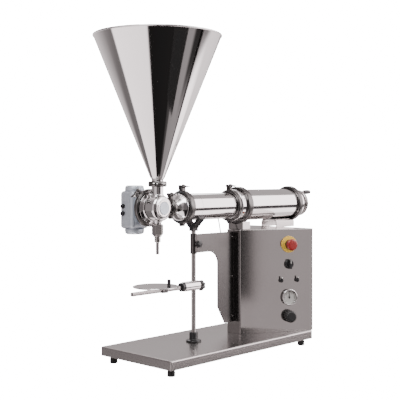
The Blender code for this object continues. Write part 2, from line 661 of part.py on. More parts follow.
# ---------------------------------------------------------------- supports
def supports():
    saddle = flange_radius(CYLINDER_RADIUS) + GAP + CLAMP_RING + GAP
    bottom = CABINET_TOP + GAP
    half = SUPPORT_WIDTH / 2
    arc_points = arc((0, AXIS_Z), saddle, -pi / 2 - 0.5, -pi / 2 + 0.5, 8)
    outline = [(-half, bottom), (half, bottom), (half, arc_points[-1][1])] + arc_points[::-1]
    outline += [(-half, arc_points[0][1])]
    plate("middle_support", outline, SUPPORT_LENGTH, "brushed_steel", (SUPPORT_FRONT, 0, 0),
          (pi / 2, 0, pi / 2))
    top = AXIS_Z - CYLINDER_RADIUS - GAP
    half = CHANNEL_WIDTH / 2
    corner = 0.012
    length = CYLINDER_REAR - CLAMP_HALF - 0.001 - CHANNEL_FRONT

    def round_top(half_width, height, radius):
        right = arc((half_width - radius, height - radius), radius, 0, pi / 2, 4)
        left = [(-y, z) for y, z in reversed(right)]
        return right + left

    outer = [(half, bottom)] + round_top(half, top, corner) + [(-half, bottom)]
    inner = round_top(half - CHANNEL_WALL, top - CHANNEL_WALL, corner - CHANNEL_WALL)
    inner = [(half - CHANNEL_WALL, bottom)] + inner + [(-half + CHANNEL_WALL, bottom)]
    plate("rear_support", outer + inner[::-1], length, "brushed_steel", (CHANNEL_FRONT, 0, 0),
          (pi / 2, 0, pi / 2))


# ---------------------------------------------------------------- column, bracket and table
def column():
    flange = 0.026
    collar = 0.0145
    base_top = BASE_TOP + GAP
    turned("column_foot", [(COLUMN_RADIUS + GAP, base_top), (flange, base_top), (flange, base_top + 0.005),
                           (collar, base_top + 0.007), (collar, base_top + 0.032),
                           (COLUMN_RADIUS + GAP, base_top + 0.032)], "black_plastic", (COLUMN_X, 0, 0))
    inner = AXIS_Z - (TUBE_RADIUS + GAP) * sqrt(2)
    outer = inner - CRADLE_WALL * sqrt(2)
    rod("column", COLUMN_RADIUS, base_top, outer + 0.004 - GAP, "polished_steel", (COLUMN_X, 0, 0), sides=20)
    arm = 0.034
    chamfer = CRADLE_WALL / sqrt(2)
    outline = [(0, inner), (arm, inner + arm), (arm + chamfer, inner + arm - chamfer),
               (0.009, outer + 0.009), (0.009, outer + 0.0), (-0.009, outer + 0.0), (-0.009, outer + 0.009),
               (-arm - chamfer, inner + arm - chamfer), (-arm, inner + arm)]
    cradle = plate("v_cradle", outline, CRADLE_LENGTH, "black_plastic",
                   (COLUMN_X - CRADLE_LENGTH / 2, 0, 0), (pi / 2, 0, pi / 2))
    cut(cradle, rod("cradle_socket", COLUMN_RADIUS + GAP, outer - 0.01, outer + 0.004, None,
                    (COLUMN_X, 0, 0)))


def bracket():
    bottom = BRACKET_TOP - BRACKET_ARM
    back = CABINET_FRONT - GAP
    start = COLUMN_X + COLUMN_RADIUS + 0.002
    tip = BRACKET_BACK + 0.036
    centre = (BRACKET_BACK - BRACKET_CORNER, bottom - BRACKET_CORNER)
    curve = arc(centre, BRACKET_CORNER, pi / 2, 0, 6)
    outline = ([(start, BRACKET_TOP), (start, bottom)] + curve +
               [(BRACKET_BACK, BRACKET_BOTTOM + 0.060), (tip, BRACKET_BOTTOM),
                (back - BRACKET_SEAM, BRACKET_BOTTOM), (back - BRACKET_SEAM, BRACKET_TOP)])
    sheet = plate("c_bracket", outline, BRACKET_THICKNESS, "brushed_steel",
                  (0, BRACKET_THICKNESS / 2, 0), (pi / 2, 0, 0))
    flange_low = (back - 2 * BRACKET_SEAM, -0.026, BRACKET_BOTTOM + BRACKET_SEAM)
    flange_high = (back, BRACKET_THICKNESS / 2 - BRACKET_SEAM / 2, BRACKET_TOP - BRACKET_SEAM)
    join(sheet, block("bracket_flange", flange_low, flange_high, None))
    join(sheet, rod("bracket_sleeve", SLEEVE_RADIUS, bottom - BRACKET_SEAM, BRACKET_TOP + BRACKET_SEAM, None,
                    (COLUMN_X, 0, 0)))
    cut(sheet, rod("sleeve_bore", COLUMN_RADIUS + GAP, bottom - 0.01, BRACKET_TOP + 0.01, None,
                   (COLUMN_X, 0, 0)))
    knob_z = (BRACKET_TOP + bottom) / 2
    cut(sheet, rod("knob_hole", SHAFT_RADIUS + RUNNING, 0, 0.03, None, (COLUMN_X, 0, knob_z),
                   ALONG_MINUS_Y, sides=12), 'MANIFOLD')
    knob_start = SLEEVE_RADIUS + 0.004
    turned("bracket_knob", [(0, COLUMN_RADIUS + GAP), (SHAFT_RADIUS, COLUMN_RADIUS + GAP),
                            (SHAFT_RADIUS, knob_start), (0.0085, knob_start), (0.0135, knob_start + 0.004),
                            (0.0135, knob_start + 0.014), (0.010, knob_start + 0.018),
                            (0, knob_start + 0.018)], "black_plastic", (COLUMN_X, 0, knob_z),
           ALONG_MINUS_Y, sides=10)


def table():
    at = (0, 0, TABLE_Z)
    clamp_body = rod("table_clamp", TABLE_CLAMP_RADIUS, TABLE_CLAMP_FRONT, TABLE_CLAMP_BACK,
                     "polished_steel", at, ALONG_X, sides=24, edge=0.0015)
    cut(clamp_body, rod("table_column_bore", COLUMN_RADIUS + RUNNING, TABLE_Z - 0.03, TABLE_Z + 0.03, None,
                        (COLUMN_X, 0, 0)))
    half = TABLE_BAR / 2
    socket_end = COLUMN_X - COLUMN_RADIUS - 0.006
    cut(clamp_body, block("bar_socket", (TABLE_CLAMP_FRONT - 0.01, -half - GAP, TABLE_Z - half - GAP),
                          (socket_end, half + GAP, TABLE_Z + half + GAP), None))
    cut(clamp_body, rod("clamp_screw_hole", SHAFT_RADIUS + RUNNING, COLUMN_X, TABLE_CLAMP_BACK + 0.01, None,
                        at, ALONG_X, sides=12))
    screw_tip = COLUMN_X + COLUMN_RADIUS + GAP
    start = TABLE_CLAMP_BACK + 0.001
    turned("table_clamp_knob", [(0, screw_tip), (SHAFT_RADIUS, screw_tip), (SHAFT_RADIUS, start),
                                (0.011, start), (0.0185, start + 0.005), (0.0185, start + 0.019),
                                (0.013, start + 0.024), (0, start + 0.024)], "black_plastic", at,
           ALONG_X, sides=8)
    bar = block("table_bar", (TABLE_BAR_END, -half, TABLE_Z - half),
                (socket_end - GAP, half, TABLE_Z + half), "brushed_steel", 0.0015, 1)
    lug_top = DISC_Z - GAP
    join(bar, block("disc_lug", (DISC_X + 0.022, -0.012, TABLE_Z - half - 0.002),
                    (DISC_X + 0.044, 0.012, lug_top), None))
    disc = rod("table_disc", DISC_RADIUS, DISC_Z, DISC_Z + DISC_THICKNESS, "polished_steel",
               (DISC_X, 0, 0), sides=32)
    stop_x = DISC_X + 0.059
    stop_pin = 0.003
    cut(disc, rod("stop_hole", stop_pin + GAP, DISC_Z - 0.01, DISC_Z + 0.02, None, (stop_x, 0, 0),
                  sides=10))
    peg = DISC_Z + DISC_THICKNESS + GAP
    turned("jar_stop", [(0, TABLE_Z + half + GAP), (stop_pin, TABLE_Z + half + GAP), (stop_pin, peg),
                        (0.006, peg), (0.006, peg + 0.014), (0.0045, peg + 0.016), (0, peg + 0.016)],
           "black_plastic", (stop_x, 0, 0), sides=12)


# ---------------------------------------------------------------- control panel
def on_panel(name, outline, finish, along, height, sides=20):
    return turned(name, outline, finish, panel_place(along, height), panel_turn(), sides)


def controls():
    stem = ESTOP_HEAD_RADIUS * 0.5
    on_panel("estop_ring", [(stem + RUNNING, GAP), (ESTOP_RING_RADIUS, GAP), (ESTOP_RING_RADIUS, 0.003),
                            (stem + 0.006, 0.004), (stem + 0.005, 0.014), (stem + RUNNING, 0.014)],
             "yellow_plastic", PANEL_S, ESTOP_Z)
    under = 0.014 + ESTOP_TRAVEL + 0.002
    on_panel("estop_head", [(0, -0.012), (stem, -0.012), (stem, under), (ESTOP_HEAD_RADIUS - 0.003, under),
                            (ESTOP_HEAD_RADIUS, under + 0.003), (ESTOP_HEAD_RADIUS, under + 0.008),
                            (ESTOP_HEAD_RADIUS - 0.004, under + 0.013), (0, under + 0.015)],
             "red_plastic", PANEL_S, ESTOP_Z)
    shaft = [(0, -0.010), (SHAFT_RADIUS, -0.010), (SHAFT_RADIUS, 0.001)]
    selector = on_panel("selector_knob", shaft + [(SELECTOR_RADIUS, 0.001), (SELECTOR_RADIUS, 0.006),
                                                  (SELECTOR_RADIUS - 0.003, 0.009), (0, 0.009)],
                        "black_plastic", PANEL_S, SELECTOR_Z)
    grip = block("selector_grip", (-0.0045, -SELECTOR_RADIUS + 0.001, 0.008),
                 (0.0045, SELECTOR_RADIUS - 0.001, 0.022), None)
    seat_on_panel(grip, PANEL_S, SELECTOR_Z)
    join(selector, grip)
    for number, side in ((1, -1), (2, 1)):
        along = PANEL_S + side * SPEED_VALVE_SPACING / 2
        knob = on_panel("speed_valve_%d" % number, shaft + [(0.0075, 0.001), (0.0075, 0.008),
                                                            (0.005, 0.011), (0, 0.011)],
                        "black_plastic", along, SPEED_VALVE_Z, sides=12)
        lever = block("speed_lever_%d" % number, (-0.0025, -0.002, 0.010), (0.0025, 0.014, 0.014), None)
        seat_on_panel(lever, along, SPEED_VALVE_Z)
        join(knob, lever)
    bezel = GAUGE_RADIUS
    back = GAUGE_RADIUS * 0.8
    on_panel("gauge_case", [(0, -0.020), (back, -0.020), (back, GAP), (bezel, GAP), (bezel, 0.009),
                            (bezel - 0.002, 0.012), (bezel - 0.005, 0.012), (bezel - 0.005, 0.004),
                            (0, 0.004)], "polished_steel", PANEL_S, GAUGE_Z)
    needle = on_panel("gauge_needle", [(0, 0.004 + GAP), (0.003, 0.004 + GAP), (0.003, 0.008), (0, 0.008)],
                      "black_plastic", PANEL_S, GAUGE_Z, sides=12)
    pointer = block("gauge_pointer", (-0.001, -0.006, 0.0055), (0.001, bezel - 0.008, 0.0065), None)
    seat_on_panel(pointer, PANEL_S, GAUGE_Z)
    join(needle, pointer)
    on_panel("regulator_knob", shaft + [(REGULATOR_RADIUS - 0.003, 0.001), (REGULATOR_RADIUS, 0.004),
                                        (REGULATOR_RADIUS, 0.022), (REGULATOR_RADIUS - 0.004, 0.028),
                                        (0, 0.028)], "black_plastic", PANEL_S, REGULATOR_Z, sides=16)


def seat_on_panel(piece, along, height):
    """Carry a piece built round the origin, with Z outwards, to its place on the panel."""
    for vertex in piece.data.vertices:
        vertex.co += piece.location
    piece.location = panel_place(along, height)
    piece.rotation_euler = panel_turn()


# ---------------------------------------------------------------- air hose
def smooth_route(points, steps):
    """A Catmull-Rom curve through the route's points."""
    padded = [points[0]] + list(points) + [points[-1]]
    route = []
    for a, b, c, d in zip(padded, padded[1:], padded[2:], padded[3:]):
        a, b, c, d = (Vector(p) for p in (a, b, c, d))
        for i in range(steps):
            t = i / steps
            route.append(0.5 * (2 * b + (c - a) * t + (2 * a - 5 * b + 4 * c - d) * t ** 2 +
                                (3 * b - a - 3 * c + d) * t ** 3))
    route.append(Vector(points[-1]))
    return route


def air_hose():
    curve = bpy.data.curves.new("air_hose", 'CURVE')
    curve.dimensions = '3D'
    curve.bevel_depth = HOSE_RADIUS
    curve.bevel_resolution = 2
    curve.use_fill_caps = True
    route = smooth_route([(x, y, AXIS_Z + z) for x, y, z in HOSE_POINTS], 3)
    spline = curve.splines.new('POLY')
    spline.points.add(len(route) - 1)
    for point, place in zip(spline.points, route):
        point.co = (*place, 1.0)
    curve.materials.append(material("black_rubber"))
    hose = bpy.data.objects.new("air_hose", curve)
    bpy.context.scene.collection.objects.link(hose)
    hose.parent = bpy.data.objects["machine_frame"]


def clamps():
    half = CLAMP_HALF
    clamp("hopper_clamp", PORT_RADIUS, 0.009, (VALVE_X, 0, HOPPER_JOINT_Z), (0, 0, 0),
          "hopper_wing_nut", -0.75 * pi)
    clamp("actuator_clamp", VALVE_NECK, 0.007, (VALVE_X, VALVE_BACK_Y + GAP / 2, AXIS_Z),
          ALONG_Y, None, -0.75 * pi)
    clamp("inlet_clamp", PORT_RADIUS, 0.007, (INLET_JOINT_X, 0, AXIS_Z), ALONG_X, "inlet_wing_nut", pi)
    clamp("tube_clamp", TUBE_RADIUS, 0.011, (TUBE_FRONT, 0, AXIS_Z), ALONG_X, "tube_wing_nut", pi)
    clamp("middle_clamp", TUBE_RADIUS, 0.007, (TUBE_REAR, 0, AXIS_Z), ALONG_X, "middle_wing_nut", pi)
    plain = flange_radius(CYLINDER_RADIUS) + GAP
    slot = FERRULE + 0.001
    for name, x, width in (("cylinder_clamp", CYLINDER_FRONT, 0.012), ("rear_clamp", CYLINDER_REAR, half)):
        on_axis(name, [(CYLINDER_RADIUS + 0.0015, x - width), (plain + CLAMP_RING, x - width),
                       (plain + CLAMP_RING, x + width), (CYLINDER_RADIUS + 0.0015, x + width),
                       (plain, x + slot), (plain, x - slot)], "cast_steel")


def main():
    clear_scene()
    frame = bpy.data.objects.new("machine_frame", None)
    bpy.context.scene.collection.objects.link(frame)
    frame.location = (-ORIGIN_X, 0, 0)
    base()
    cabinet()
    air_inlet()
    hopper()
    valve()
    nozzle()
    actuator()
    dosing_line()
    pistons()
    adjustment()
    clamps()
    supports()
    column()
    bracket()
    table()
    controls()
    air_hose()


main()
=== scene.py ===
import json
from math import atan2, cos, pi, sin, sqrt, tau

import bpy
from bpy.props import FloatProperty, FloatVectorProperty, IntProperty, PointerProperty
from mathutils import Matrix, Vector


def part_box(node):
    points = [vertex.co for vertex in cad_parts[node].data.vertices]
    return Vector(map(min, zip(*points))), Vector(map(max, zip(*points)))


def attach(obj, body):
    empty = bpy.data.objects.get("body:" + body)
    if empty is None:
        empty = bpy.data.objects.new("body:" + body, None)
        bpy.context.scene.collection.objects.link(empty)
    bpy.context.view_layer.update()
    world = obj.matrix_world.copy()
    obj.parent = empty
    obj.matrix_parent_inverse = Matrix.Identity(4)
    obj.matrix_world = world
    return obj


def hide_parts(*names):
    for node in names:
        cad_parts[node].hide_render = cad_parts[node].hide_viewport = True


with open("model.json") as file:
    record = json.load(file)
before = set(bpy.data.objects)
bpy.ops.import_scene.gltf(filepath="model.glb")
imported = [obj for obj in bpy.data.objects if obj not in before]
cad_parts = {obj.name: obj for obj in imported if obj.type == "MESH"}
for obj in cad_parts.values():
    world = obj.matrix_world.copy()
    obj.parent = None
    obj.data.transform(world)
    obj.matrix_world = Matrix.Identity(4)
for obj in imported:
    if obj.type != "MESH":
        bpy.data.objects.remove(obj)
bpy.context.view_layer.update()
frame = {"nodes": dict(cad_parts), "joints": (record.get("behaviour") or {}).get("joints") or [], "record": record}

bl_info = {
    "name": "Piston liquid filler",
    "version": (1, 0, 0),
    "blender": (4, 5, 0),
    "location": "View3D > Sidebar > Filler",
    "description": "Finished pieces and materials of a bench piston filler, round its packed frame",
    "category": "Add Mesh",
}

# ------------------------------------------------------------------ places, mostly read from the frame
JOINTS = {joint["name"]: joint for joint in frame["joints"]}
ALONG_X = Vector((1, 0, 0))
ALONG_Y = Vector((0, 1, 0))
TOWARDS_OPERATOR = Vector((0, -1, 0))
UP = Vector((0, 0, 1))


def low(node):
    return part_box(node)[0]


def high(node):
    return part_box(node)[1]


def middle(node):
    return (low(node) + high(node)) / 2


AXIS_Z = middle("dosing_tube").z
VALVE_X = middle("hopper").x
COLUMN_X = middle("column").x
COLUMN_RADIUS = (high("column").x - low("column").x) / 2
PANEL_OUT = Vector(JOINTS["selector_turn"]["axis"])
FLANGE_LIP = 0.006           # how far a clamp flange stands out of its pipe
FLANGE = 0.003               # thickness of one clamp flange
CLAMP_WALL = 0.0045          # metal outside a clamp's groove
CLEARANCE = 0.0003           # gap between two pieces that meet
RUNNING_GAP = 0.0004         # gap round the stroke screw
CLAMP_OUT = FLANGE_LIP + CLEARANCE + CLAMP_WALL    # how far a clamp stands out of its pipe
WALL = 0.002                 # sheet steel and tube
PORT_RADIUS = high("inlet_clamp").y - CLAMP_OUT
PORT_BORE = 0.0165
TUBE_RADIUS = (high("dosing_tube").y - low("dosing_tube").y) / 2 - FLANGE_LIP
CYLINDER_RADIUS = (high("air_cylinder").y - low("air_cylinder").y) / 2 - FLANGE_LIP
VALVE_RADIUS = VALVE_X - low("valve_body").x
SCREW_RADIUS = (high("stroke_screw").y - low("stroke_screw").y) / 2
VALVE_NECK = high("actuator_clamp").z - AXIS_Z - CLAMP_OUT     # radius of the pipe to the actuator

# the air hose's route, from the front head to the cabinet's nose
HOSE_ROUTE = ((0.0610, 0.0585, 0.5000), (0.0590, 0.0655, 0.4990), (0.0520, 0.0705, 0.4940),
              (0.0440, 0.0680, 0.4840), (0.0380, 0.0580, 0.4740), (0.0345, 0.0480, 0.4625),
              (0.0310, 0.0390, 0.4440), (0.0280, 0.0310, 0.4200), (0.0305, 0.0265, 0.4040),
              (0.0380, 0.0245, 0.3930), (0.0480, 0.0240, 0.3868), (0.0560, 0.0240, 0.3850),
              (0.0625, 0.0240, 0.3850))

# The studio. These are the walls that the steel reflects, as (turn, light). The turn goes round the
# machine from the back through the left, the front and the right. Reflections that point down see the
# lower walls.
LOWER_WALLS = [(0.0, 1.3), (0.113, 1.2), (0.120, 0.17), (0.249, 0.20), (0.256, 2.3), (0.450, 2.0),
               (0.458, 0.014), (0.604, 0.018), (0.612, 0.07), (0.632, 0.07), (0.638, 0.33),
               (0.750, 0.38), (0.755, 0.04), (0.767, 0.05), (0.772, 3.2), (0.834, 2.8), (0.840, 1.2),
               (1.0, 1.3)]
UPPER_WALLS = [(0.0, 1.25), (0.11, 0.90), (0.20, 0.30), (0.31, 0.28), (0.36, 0.80), (0.45, 0.80),
               (0.47, 0.14), (0.575, 0.16), (0.590, 0.62), (0.72, 0.70), (0.75, 2.2), (0.822, 2.2),
               (0.834, 0.85), (1.0, 1.25)]
# Reflections that point to the rear end see these instead, as (turn about X, light).
OVERHEAD = [(0.0, 1.3), (0.400, 1.5), (0.411, 0.10), (0.470, 0.05), (0.480, 4.0), (0.688, 4.0),
            (0.700, 0.55), (1.0, 0.55)]
FRONT_LINE = [(0.400, 1.0), (0.411, 0.10), (0.470, 0.05), (0.480, 1.0)]
# Where the rear end's lights, the upper walls and the ceiling take over: 0 is straight away from the rear
# or straight down, and 1 is straight to the rear or straight up.
REAR = [(0.72, 0.0), (0.76, 1.0)]
HORIZON = [(0.33, 0.0), (0.37, 1.0)]
CEILING = [(0.88, 0.0), (0.95, 1.0)]
WARMTH = (1.07, 0.97, 0.975)                 # tint of the light
BACKDROP = 20.0                              # brightness of the white behind the machine
FLOOR_GLOW = 16.0
CAMERA_PLACE = (-2.1838, -1.9779, 0.615)
CAMERA_TURN = -0.8092                        # level, and turned about Z
CAMERA_LENS = 75.6
CAMERA_SHIFT = -0.06
SENSOR = 36.0
TOWARDS_CAMERA = (-0.7237, -0.690, 0)
CAMERA_RIGHT = (0.690, -0.7237, 0)


# ------------------------------------------------------------------ what a user may change
class FillerSizes(bpy.types.PropertyGroup):
    """Sizes of the finishing detail."""
    sides: IntProperty(
        name="Round sides", description="Flats round a large turned piece", default=128, min=32,
        max=256)
    small_sides: IntProperty(
        name="Small round sides", description="Flats round a small turned piece", default=48, min=16,
        max=128)
    edge: FloatProperty(
        name="Edge radius", description="Rounding of a machined edge", default=0.0006, unit='LENGTH')
    fold: FloatProperty(
        name="Fold radius", description="Outside radius of a fold in sheet steel", default=0.005,
        unit='LENGTH')
    rim_bead: FloatProperty(
        name="Rim bead", description="Radius of the hopper's rolled rim", default=0.003, unit='LENGTH')
    hopper_wall: FloatProperty(
        name="Hopper wall", description="Thickness of the hopper's sheet", default=0.0015,
        unit='LENGTH')
    wing_span: FloatProperty(
        name="Wing span", description="Width of a wing nut across its wings", default=0.032,
        unit='LENGTH')
    hose_diameter: FloatProperty(
        name="Hose diameter", description="Outside diameter of the air hose", default=0.004,
        unit='LENGTH')


class FillerColours(bpy.types.PropertyGroup):
    """Base colours of the finishes."""
    polished: FloatVectorProperty(
        name="Polished steel", description="Mirror-polished stainless steel", subtype='COLOR',
        default=(0.80, 0.785, 0.785))
    brushed: FloatVectorProperty(
        name="Brushed steel", description="Brushed stainless sheet", subtype='COLOR',
        default=(0.50, 0.475, 0.47))
    # The clamps' colour is partly their own dark cast metal and partly painted shade: it is set very dark for the
    # shade the clamps sit in.
    cast: FloatVectorProperty(
        name="Cast steel", description="Cast and blasted clamp rings", subtype='COLOR',
        default=(0.14, 0.135, 0.133))
    aluminium: FloatVectorProperty(
        name="Blue-grey aluminium", description="Anodised actuator", subtype='COLOR',
        default=(0.56, 0.61, 0.67))
    black: FloatVectorProperty(
        name="Black plastic", description="Knobs and grips", subtype='COLOR', default=(0.016, 0.016,
        0.017))
    rubber: FloatVectorProperty(
        name="Rubber", description="Feet, seal and hose", subtype='COLOR', default=(0.012, 0.012,
        0.012))
    red: FloatVectorProperty(
        name="Red", description="Emergency stop head", subtype='COLOR', default=(0.30, 0.016, 0.015))
    yellow: FloatVectorProperty(
        name="Yellow", description="Emergency stop ring", subtype='COLOR', default=(0.84, 0.54, 0.07))
    white: FloatVectorProperty(
        name="White plastic", description="Dosing piston and gauge dial", subtype='COLOR',
        default=(0.84, 0.83, 0.79))


def sizes():
    return bpy.context.scene.filler_sizes


def colours():
    return bpy.context.scene.filler_colours


# ------------------------------------------------------------------ shader maths
class Value:
    """A value in a material's nodes, which Python's arithmetic works on."""

    def __init__(self, nodes, socket):
        self.nodes = nodes
        self.socket = socket

    def maths(self, operation, first, second):
        return self.nodes.add("ShaderNodeMath", {"operation": operation}, {0: first, 1: second})

    def __add__(self, other):
        return self.maths('ADD', self, other)

    def __radd__(self, other):
        return self.maths('ADD', other, self)

    def __sub__(self, other):
        return self.maths('SUBTRACT', self, other)

    def __rsub__(self, other):
        return self.maths('SUBTRACT', other, self)

    def __mul__(self, other):
        return self.maths('MULTIPLY', self, other)

    def __rmul__(self, other):
        return self.maths('MULTIPLY', other, self)

    def __pow__(self, other):
        return self.maths('POWER', self, other)


class Nodes:
    """The node tree of a material or of the world."""

    def __init__(self, owner, shader):
        owner.use_nodes = True
        self.owner = owner
        self.tree = owner.node_tree
        self.shader = self.tree.nodes[shader]

    def add(self, kind, settings, inputs, output=0):
        """Add a node, set it, give its sockets values or links, and return one of its outputs."""
        node = self.tree.nodes.new(kind)
        for setting, value in settings.items():
            if setting == "stops":
                ramp = node.color_ramp
                for place, colour in value[1:-1]:
                    ramp.elements.new(place)
                for element, (place, amount) in zip(ramp.elements, value):
                    element.position = place
                    element.color = (amount, amount, amount, 1)
            else:
                setattr(node, setting, value)
        for socket, value in inputs.items():
            self.give(node.inputs[socket], value)
        return Value(self, node.outputs[output])

    def give(self, socket, value):
        if isinstance(value, Value):
            self.tree.links.new(value.socket, socket)
        else:
            socket.default_value = value

    def set(self, socket, value):
        """Give one of the shader's own sockets a value or a link."""
        self.give(self.shader.inputs[socket], value)

    def ramp(self, value, stops):
        return self.add("ShaderNodeValToRGB", {"stops": stops}, {"Fac": value})

    def place(self, stretch=(1, 1, 1)):
        where = self.add("ShaderNodeTexCoord", {}, {}, "Object")
        return self.add("ShaderNodeMapping", {}, {"Vector": where, "Scale": stretch})

    def noise(self, scale, detail=3.0, stretch=(1, 1, 1), roughness=0.5):
        return self.add("ShaderNodeTexNoise", {}, {"Vector": self.place(stretch), "Scale": scale,
                                                   "Detail": detail, "Roughness": roughness}, "Fac")

    def between(self, mask, first, second):
        """A colour between two, by a mask."""
        node = self.tree.nodes.new("ShaderNodeMix")
        node.data_type = 'RGBA'
        self.give(node.inputs["Factor"], mask)
        for socket, colour in ((6, first), (7, second)):
            self.give(node.inputs[socket], colour if isinstance(colour, Value) else (*colour, 1))
        return Value(self, node.outputs[2])

    def bump(self, height, strength, distance):
        return self.add("ShaderNodeBump", {}, {"Height": height, "Strength": strength,
                                               "Distance": distance}, "Normal")


def material_nodes(name):
    return Nodes(bpy.data.materials.new(name), "Principled BSDF")


def shade(colour, amount):
    return tuple(min(1.0, channel * amount) for channel in colour)


def make_metal(name, colour, roughness, spread, stretch, grain, depth, metallic=1.0, cloud=0.10):
    """A metal: fine marks along one direction, patches of duller polish, and a little colour change."""
    nodes = material_nodes(name)
    marks = nodes.noise(grain, 4.0, stretch, 0.6)
    patches = nodes.noise(9.0, 3.0)
    wear = nodes.ramp(patches, [(0.35, 0.0), (0.75, 1.0)])
    nodes.set("Base Color", nodes.between(wear * 0.5 + marks * 0.5, shade(colour, 1 + cloud),
                                          shade(colour, 1 - cloud)))
    nodes.set("Roughness", roughness + (marks - 0.5) * spread + (patches - 0.5) * spread * 0.6)
    nodes.set("Metallic", metallic)
    nodes.set("Normal", nodes.bump(marks, 0.35, depth))
    return nodes.owner


def make_plastic(name, colour, roughness, grain, depth, coat=0.0, cloud=0.12):
    """Moulded plastic or rubber: a fine grain, with handling marks in its sheen."""
    nodes = material_nodes(name)
    skin = nodes.noise(grain, 2.0)
    handled = nodes.noise(28.0, 4.0)
    nodes.set("Base Color", nodes.between(handled, shade(colour, 1 + cloud), shade(colour, 1 - cloud)))
    nodes.set("Roughness", roughness + (handled - 0.5) * 0.18)
    nodes.set("Coat Weight", coat)
    nodes.set("Coat Roughness", 0.08)
    nodes.set("Normal", nodes.bump(skin, 0.4, depth))
    return nodes.owner


FINISHES = {}


def make_finishes():
    c = colours()
    everywhere = (1, 1, 1)
    FINISHES.update({
        "polished_steel": make_metal("polished_steel", c.polished, 0.085, 0.045, (0.2, 1, 1), 60,
                                     0.00001, cloud=0.03),
        "polished_round": make_metal("polished_round", c.polished, 0.10, 0.06, (12, 1, 1), 30,
                                     0.00001, cloud=0.04),
        "polished_hopper": make_metal("polished_hopper", c.polished, 0.07, 0.03, (1, 1, 0.15), 40,
                                      0.00001, cloud=0.02),
        "brushed_steel": make_metal("brushed_steel", c.brushed, 0.23, 0.07, (0.02, 1, 1), 700,
                                    0.000006, cloud=0.05),
        "brushed_upright": make_metal("brushed_upright", c.brushed, 0.13, 0.05, (1, 1, 0.02), 700,
                                      0.000006, cloud=0.05),
        "brushed_dark": make_metal("brushed_dark", shade(c.brushed, 0.25), 0.30, 0.10, (1, 1, 0.04),
                                   700, 0.00002),
        # cast_steel: dark cast metal, darkened further as painted shade on the clamps.
        "cast_steel": make_metal("cast_steel", c.cast, 0.32, 0.14, everywhere, 500,
                                 0.00005, cloud=0.15),
        # A lighter copy of the cast colour. It is the own finish of the bright screws, bolts and pins. On the
        # polished nozzle, its nut and the column it is a darker colour than their polish, which paints their shade
        # and darker reflections.
        "bright_steel_and_shaded_polish": make_metal("bright_steel_and_shaded_polish", shade(c.cast, 3.4), 0.16, 0.05, everywhere, 120,
                                   0.000004, cloud=0.05),
        "blue_aluminium": make_metal("blue_aluminium", c.aluminium, 0.38, 0.10, everywhere, 700,
                                     0.00003, 0.55, 0.05),
        "black_plastic": make_plastic("black_plastic", c.black, 0.36, 900, 0.00004),
        "black_rubber": make_plastic("black_rubber", c.rubber, 0.68, 600, 0.00006),
        "red_plastic": make_plastic("red_plastic", c.red, 0.30, 700, 0.00002, 0.5),
        "yellow_plastic": make_plastic("yellow_plastic", c.yellow, 0.38, 700, 0.00002, 0.2),
        "white_plastic": make_plastic("white_plastic", c.white, 0.34, 700, 0.00002, 0.0, 0.04),
        # The gauge dial: the white plastic darkened to 0.55, which paints shade on the white dial, under a clear
        # coat.
        "dial_white_painted_shade": make_plastic("dial_white_painted_shade", shade(c.white, 0.55), 0.25, 700, 0.00001, 1.0, 0.02),
    })


# ------------------------------------------------------------------ modelling helpers
def deselect():
    if bpy.context.object and bpy.context.object.mode != 'OBJECT':
        bpy.ops.object.mode_set(mode='OBJECT')
    bpy.ops.object.select_all(action='DESELECT')


def choose(piece):
    deselect()
    piece.select_set(True)
    bpy.context.view_layer.objects.active = piece


def set_down(piece):
    """Put a piece's place, turn and scale into its mesh."""
    choose(piece)
    bpy.ops.object.transform_apply(location=True, rotation=True, scale=True)


def aim(direction):
    """The turn that carries a piece's own Z axis to a direction."""
    return Vector(direction).to_track_quat('Z', 'Y').to_euler()


def soften(piece, width, segments=2, angle=pi / 6):
    """Round a piece's sharp edges and shade it smooth between them."""
    choose(piece)
    if width:
        bpy.ops.object.modifier_add(type='BEVEL')
        bevel = piece.modifiers[-1]
        bevel.width = width
        bevel.segments = segments
        bevel.limit_method = 'ANGLE'
        bevel.angle_limit = angle
        bevel.harden_normals = False
        bpy.ops.object.modifier_apply(modifier=bevel.name)
    bpy.ops.object.shade_smooth_by_angle(angle=pi / 5)
    level(piece)
    return piece


def level(piece):
    """Weight a piece's normals by face area, so that its flat faces look flat up to their edges."""
    choose(piece)
    bpy.ops.object.modifier_add(type='WEIGHTED_NORMAL')
    weighted = piece.modifiers[-1]
    weighted.keep_sharp = True
    bpy.ops.object.modifier_apply(modifier=weighted.name)


